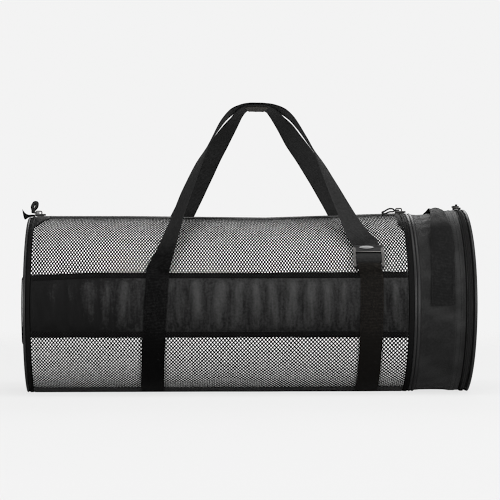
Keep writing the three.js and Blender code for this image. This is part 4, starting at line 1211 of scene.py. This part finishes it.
def grab_frames():
    """Grab handle over the pocket, drawn in at its crown, and its width."""
    angles = np.linspace(0, 180, 91)
    from_foot = np.minimum(angles, 180 - angles)
    over = GAP + WEBBING["thick"] / 2 + GRAB["lift"] * smooth(from_foot, GRAB["sewn"], GRAB["free"])
    x = GRAB["foot"] + (GRAB["crown"] - GRAB["foot"]) * np.sin(np.radians(angles))
    width = WEBBING["width"] + (GRAB["crown_width"] - WEBBING["width"]) * smooth(from_foot, GRAB["drawn"], 90)
    left, right = skin(x - width / 2, angles, over), skin(x + width / 2, angles, over)
    return ((left + right) / 2, unit(right - left), outward(angles)), width


def end_grab_frames():
    """Grab handle on the left cap."""
    z = np.linspace(END_GRAB["low"], END_GRAB["high"], 61)
    radius, centre = outline_at(LEFT_CAP["x"])
    share = (z - centre) / (radius + LEFT_CAP["edge"])
    cap_x = LEFT_CAP["x"] + LEFT_CAP["bulge"] * (1 - share ** 2)
    from_end = np.minimum(z - END_GRAB["low"], END_GRAB["high"] - z)
    rise = END_GRAB["lift"] * smooth(from_end, END_GRAB["sewn"], END_GRAB["sewn"] + END_GRAB["slope"])
    middle = np.stack([cap_x - GAP - rise - WEBBING["thick"] / 2, np.zeros_like(z), z], 1)
    across = np.tile(unit(np.array([END_GRAB["turn"], -1, 0])), (len(z), 1))
    return middle, across, unit(np.cross(across, np.gradient(middle, axis=0)))


grab, grab_width = grab_frames()
end_grab = end_grab_frames()
drawn_in = (WEBBING["width"] - grab_width) / (WEBBING["width"] - GRAB["crown_width"])
grab_strap = ribbon(grab, grab_width, crumple=GRAB["crown_crumple"] * drawn_in + GRAB["crumple"])
place("grab_handle_strap", grab_strap, LIT_GRAB_STRAP, "webbing", "grab_handle")
place("left_end_handle_strap", ribbon(end_grab), STRAP, "webbing", "left_end_handle")


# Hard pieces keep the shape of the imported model, with rounded edges
def every_edge(face, softened):
    return softened


def rails_and_bar(face, softened):
    """How pale the fronts of the buckle's two rails and the softened edges below its lip are painted, as
    highlights.
    """
    centre = np.array(face.calc_center_median()) / MM
    if abs(centre[0] - LOCK["x"]) > LOCK["inside"] / 2 and face.normal.y < -0.5:
        return RAIL_HIGHLIGHT
    return softened and (centre - LOCK_MIDDLE) @ LOCK_RISE < LOCK["lip_up"]


def rounded(node, name, finish, width, shortest, edge_highlight=every_edge):
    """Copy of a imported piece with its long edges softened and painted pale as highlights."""
    work = bmesh.new()
    work.from_mesh(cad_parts[node].data)
    bmesh.ops.remove_doubles(work, verts=work.verts, dist=1e-5)
    flat = math.radians(BEVEL["flat"])
    bmesh.ops.dissolve_limit(work, angle_limit=flat, verts=work.verts, edges=work.edges)
    highlight_layer = work.faces.layers.float.new("light_and_wear")
    sharp = [
        edge for edge in work.edges
        if edge.calc_face_angle(0) > math.radians(BEVEL["soft"]) and edge.calc_length() > shortest * MM
    ]
    edged = bmesh.ops.bevel(
        work, geom=sharp, offset=width * MM, segments=BEVEL["steps"], profile=0.5, affect="EDGES",
        clamp_overlap=False)
    softened = set(edged["faces"])
    for face in work.faces:
        face[highlight_layer] = edge_highlight(face, face in softened)
    mesh = bpy.data.meshes.new(name)
    work.to_mesh(mesh)
    work.free()
    mesh.shade_smooth()
    mesh.set_sharp_from_angle(angle=math.radians(BEVEL["sharp"]))
    return settle(bpy.data.objects.new(name, mesh), finish, "plastic", node)


def thumb_rest(steps=24, sides=16):
    """Polished lens on the buckle's lip, its pale colour a painted highlight."""
    share = np.linspace(-1, 1, steps)[:, None] * 0.98
    swell = (1 - share ** 2) ** REST["fullness"]
    middles = on_lock(REST["up"], REST["out"], REST["shift"] + REST["half"] * share)
    high, thick = REST["high"] * swell * LOCK_RISE, REST["thick"] * swell * LOCK_OUT
    return sweep(round_sections(middles, high, thick, sides))


# The buckle's rail fronts and softened edges, and the sliders' softened edges, are painted pale as highlights
rounded("front_ladder_lock", "ladder_lock_buckle", PLASTIC, width=0.7, shortest=6, edge_highlight=rails_and_bar)
for node in ("main_zip_slider_left", "main_zip_slider_right", "end_zip_slider"):
    rounded(node, f"{node}_body", RUBBER, width=0.4, shortest=2.5)
place("ladder_lock_thumb_rest", thumb_rest(), HIGHLIGHT_PLASTIC, "plastic")


# Zips
def teeth(path, outs, half, high):
    """Two rows of bars that mesh along a chain."""
    template, faces = bead(half * TEETH["long"], TEETH["pitch"] * TEETH["thick"], high)
    template = template[:, [1, 0, 2]] * np.array([1, -1, 1])
    centres, axes = spaced(path, outs, TEETH["pitch"])
    rows = []
    for side, shift in ((-1, 0.0), (1, 0.5)):
        moved = centres + axes[:, 0] * shift * TEETH["pitch"]
        moved = moved + axes[:, 1] * side * half * TEETH["aside"]
        rows.append(copies(template, faces, moved, axes))
    return join(rows)


zip_along = np.linspace(*PANEL, ZIP_STEPS)
for side, sign in (("front", -1), ("rear", 1)):
    tape_angles = 90 + sign * np.linspace(spread(TAPE["from"]), spread(TAPE["to"]), 7)
    tape = wall(zip_along, tape_angles, GAP, GAP + TAPE["thick"] * crown(tape_angles, rounding=0.5))
    place(f"main_zip_tape_{side}_cloth", tape, ZIP_TAPE, "trim", f"main_zip_tape_{side}")
chain_angles = 90 + np.linspace(-1, 1, 5) * spread(CHAIN["half"])
chain_base = wall(zip_along, chain_angles, GAP, GAP + CHAIN["base"])
chain_path = skin(zip_along, 90, CHAIN["top"] - CHAIN["sunk"])
chain_up = np.tile([0, 0, 1.0], (ZIP_STEPS, 1))
chain = join([chain_base, teeth(chain_path, chain_up, CHAIN["half"], CHAIN["teeth"])])
place("main_zip_chain", chain, COIL, "plastic", "main_zip_coil")

round_angles = np.linspace(0, 360, 361)
end_path = skin(end_middle, round_angles, END_CHAIN["top"] - END_CHAIN["sunk"])
end_teeth = teeth(end_path, outward(round_angles), (END_COIL[1] - END_COIL[0]) / 2, END_CHAIN["teeth"])
end_base = band(END_COIL, -CLOTH, END_CHAIN["base"], rows=5, ripple=0.0)
place("end_zip_chain", join([end_base, end_teeth]), SUNK_COIL, "plastic", "end_zip_coil")


def zip_patch(end, side):
    """Dark patch beside an end of the main zip."""
    steps, count = GRIDS["patch"]
    along, share = np.linspace(*reach(f"zip_end_patch_{end}_front"), steps), np.linspace(0, 1, count)
    x, part = grid(along, share)
    low = np.interp(x, along[[0, -1]], PATCHES[end])
    angle = low + (PATCH_TO - low) * part
    height = GAP + np.maximum(CLOTH * crown(along, 0.6)[:, None] * crown(share, 0.6)[None], 0.2)
    turned = facing(side, angle)
    return shell(skin(x, turned, height), skin(x, turned, GAP), flat_cloth(x, angle))


for end in PATCHES:
    for side in SIDES:
        place(f"zip_patch_{end}_{side}", zip_patch(end, side), TRIM, "trim", f"zip_end_patch_{end}_{side}")


def slider_height(x, over):
    """Place of a slider's plate, clear of the chain all along it."""
    ends = x + np.array([-0.5, 0, 0.5]) * SLIDER_LENGTH
    return np.array([x, 0, skin(ends, 90, over)[:, 2].max()])


def loop_pull(spec, carrier, turned=False):
    """Loop through a slider's bridge that lies along the zip, or passes the bridge, stands up and turns."""
    t = turns(LOOP["steps"])
    reach_out, back = spec["reach"], spec["back"]
    along = reach_out * (1 - np.cos(t)) / 2
    from_bend = np.hypot(along - back, LOOP["bend"])
    laid = (along + back - from_bend) / 2
    risen = along - laid
    clear = smooth(along, spec["thin_to"], spec["full_from"])
    growth = smooth(along, spec["full_from"], LOOP["grown"] * reach_out)
    twist, tilt = math.radians(spec["twist"]) * clear, math.radians(spec["tilt"]) * clear
    wide = spec["half"] + (spec["foot"] - spec["half"]) * clear + (spec["head"] - spec["foot"]) * growth
    side = wide * np.sign(np.sin(t)) * abs(np.sin(t)) ** LOOP["squareness"]
    droop = spec["droop"] * smooth(along, reach_out / 2, reach_out)
    swing = spec["swing"] * smooth(along, spec["thin_to"], reach_out)
    points = np.stack([
        BRIDGE_X + side * np.sin(twist) - laid + spec["lean"] * risen,
        side * np.cos(twist) * np.cos(tilt) - swing,
        SLIDER_PLATE + GAP + LOOP["thin"] + risen + side * np.sin(tilt) - droop,
    ], 1)
    run = unit(np.roll(points, -1, 0) - np.roll(points, 1, 0))
    upright = (1 + (along - back) / from_bend) / 2
    axis = np.stack([upright - 1, 0 * along, upright], 1)
    turned_side = np.stack([np.sin(twist), np.cos(twist), 0 * along], 1)
    square = square_to(np.cross(turned_side, axis), run)
    knob = spec["knob"] * smooth(along, LOOP["knob_from"] * reach_out, reach_out)
    thick = (LOOP["thin"] + (spec["full"] - LOOP["thin"]) * (clear + growth) / 2 + knob)[:, None]
    sections = round_sections(points, thick * np.cross(run, square), thick * square, LOOP["sides"])
    if turned:
        sections = np.stack([sections[..., 1], -sections[..., 0], sections[..., 2]], -1)
    return sweep(sections + carrier, loop=True)


for end in ("left", "right"):
    pull = loop_pull(PULLS[end], slider_height(SLIDER_X[end], CHAIN["top"] + GAP))
    place(f"main_zip_loop_{end}", pull, RUBBER, "plastic", f"main_zip_pull_{end}")
end_pull = loop_pull(PULLS["end"], skin(SLIDER_X["end"], 90, END_CHAIN["top"] + GAP), turned=True)
place("end_zip_loop", end_pull, RUBBER, "plastic", "end_zip_pull")


def tail_tab(steps=6, sides=16):
    """Leaf-shaped tab that carries the end of the zip past the left cap, thickest along its middle."""
    root = skin(TAB_ROOT, 90, 0)[2]
    lower, upper = (
        smooth_run(np.array([(x, 0, root + over) for x, over in edge]), steps)[0]
        for edge in (TAB_LOWER, TAB_UPPER)
    )
    thick = np.tile(Y_AXIS * TAB_THICK / 2, (len(lower), 1))
    return sweep(round_sections((lower + upper) / 2, thick, (upper - lower) / 2, sides))


place("zip_tail_tab_cloth", tail_tab(), TRIM, "trim", "zip_tail_tab")


# Stitching
def strap_line(frames, places, sides):
    """Path on a strap's outer face through some of its frames, at sides that may change."""
    middle, across, out = (array[places] for array in frames)
    return middle + across * sides[:, None] + out * (WEBBING["thick"] / 2 + SEAM_OVER["strap"]), out


def box_seam(frames, first, last):
    """Box with two diagonals that sews a strap down."""
    half = STITCH["box"]
    run = np.arange(first, last + 1)
    slants = ((-half, -half), (half, half), (-half, half), (half, -half))
    lines = [strap_line(frames, run, np.linspace(a, b, len(run))) for a, b in slants]
    across = np.linspace(-half, half, 9)
    return lines + [strap_line(frames, np.full(len(across), index), across) for index in (first, last)]


def ring_seam(x, over):
    """Line of stitches round the bag."""
    return skin(x, round_angles, over), outward(round_angles)


def panel_seam(side, sign):
    """Line of stitches along a panel's binding."""
    along = np.linspace(*PANEL, 200)
    angle = beside_panel(side, sign, along, STRIP[0] + STRIP_SEAM)
    return skin(along, angle, BASE_LIFT + SEAM_OVER["panel"]), outward(angle)


def zip_seam(sign):
    """Line of stitches along a tape of the main zip."""
    angle = 90 + sign * spread(TAPE["seam"])
    return skin(zip_along, angle, GAP + TAPE["thick"]), np.tile(outward(angle), (ZIP_STEPS, 1))


box_from, box_to = (STRAP_ANGLES.index(angle) for angle in (-PANEL_EDGE, PANEL_EDGE))
box = box_from * STRAP_STEPS, box_to * STRAP_STEPS
rear_end = len(rear_frames[0]) - 1
strap_lines = box_seam(front_frames, *box) + box_seam(rear_frames, *box)
strap_lines += box_seam(rear_frames, rear_end - box[1], rear_end - box[0])
strap_lines += box_seam(anchor_frames, box_from * ANCHOR_STEPS, box_to * ANCHOR_STEPS)
for frames, sewn in ((grab, GRAB_BOXES), (end_grab, END_GRAB_BOXES)):
    for first, last in sewn:
        strap_lines += box_seam(frames, first, last)
place("strap_stitches", join([stitches(*line) for line in strap_lines]), THREAD, "webbing")

seam_lines = [
    ring_seam(sum(binding) / 2, BASE_LIFT + SEAM_OVER["binding"])
    for binding in (LEFT_BINDING, SEAM_BINDING)
]
seam_lines += [ring_seam(x, SEAM_OVER["facing"]) for x in (FACING[0] + FACING_SEAM, FACING[1] - FACING_SEAM)]
seam_lines += [panel_seam(side, sign) for side in SIDES for sign in (1, -1)]
seam_lines += [zip_seam(sign) for sign in (-1, 1)]
place("seam_stitches", join([stitches(*line) for line in seam_lines]), THREAD, "trim")


# Floor, light and camera
def floor(sides=96):
    mesh = bpy.data.meshes.new("studio_floor")
    turn = turns(sides)
    points = np.stack([np.cos(turn), np.sin(turn), np.zeros(sides)], 1) * FLOOR_RADIUS
    mesh.from_pydata(points, [], [list(range(sides))])
    piece = bpy.data.objects.new("studio_floor", mesh)
    scene.collection.objects.link(piece)
    mesh.materials.append(pale_floor("floor_paint"))


def sky():
    """Even studio light; the backdrop itself is shown paler than it lights."""
    world = bpy.data.worlds.new("studio")
    n = Nodes(world)
    seen = n.add("ShaderNodeLightPath")
    lights = n.add("ShaderNodeBackground", None, {"Color": grey(1.0), "Strength": SKY_LIGHT})
    shown = n.add("ShaderNodeBackground", None, {"Color": grey(1.0), "Strength": BACKDROP})
    both = n.add("ShaderNodeMixShader", None, {0: seen, 1: lights, 2: shown})
    n.add("ShaderNodeOutputWorld", None, {"Surface": both})
    scene.world = world


def aim(name, data, at, towards):
    """Object of a light or a camera at a place, turned towards another."""
    piece = bpy.data.objects.new(name, data)
    piece.location = at
    piece.rotation_euler = (Vector(towards) - Vector(at)).to_track_quat("-Z", "Y").to_euler()
    scene.collection.objects.link(piece)
    return piece


def softbox(name, at, towards, size, power):
    light = bpy.data.lights.new(name, "AREA")
    light.shape = "RECTANGLE"
    light.size, light.size_y = size
    light.energy = power
    aim(name, light, at, towards)


def camera():
    data = bpy.data.cameras.new("photo_camera")
    data.lens = LENS
    data.sensor_width = SENSOR
    scene.camera = aim("photo_camera", data, EYE, LOOK_AT)


def crisp_picture():
    """Sharpens the picture a little, as the photograph is."""
    scene.view_settings.view_transform = "Standard"
    scene.cycles.filter_width = FILTER_WIDTH
    scene.use_nodes = True
    tree = scene.node_tree
    tree.nodes.clear()
    layers = tree.nodes.new("CompositorNodeRLayers")
    sharpen = tree.nodes.new("CompositorNodeFilter")
    sharpen.filter_type = "SHARPEN_DIAMOND"
    sharpen.inputs["Fac"].default_value = SHARPNESS
    shown = tree.nodes.new("CompositorNodeComposite")
    tree.links.new(layers.outputs["Image"], sharpen.inputs["Image"])
    tree.links.new(sharpen.outputs["Image"], shown.inputs["Image"])


floor()
sky()
for name, light in SOFTBOXES.items():
    softbox(name, **light)
camera()
crisp_picture()
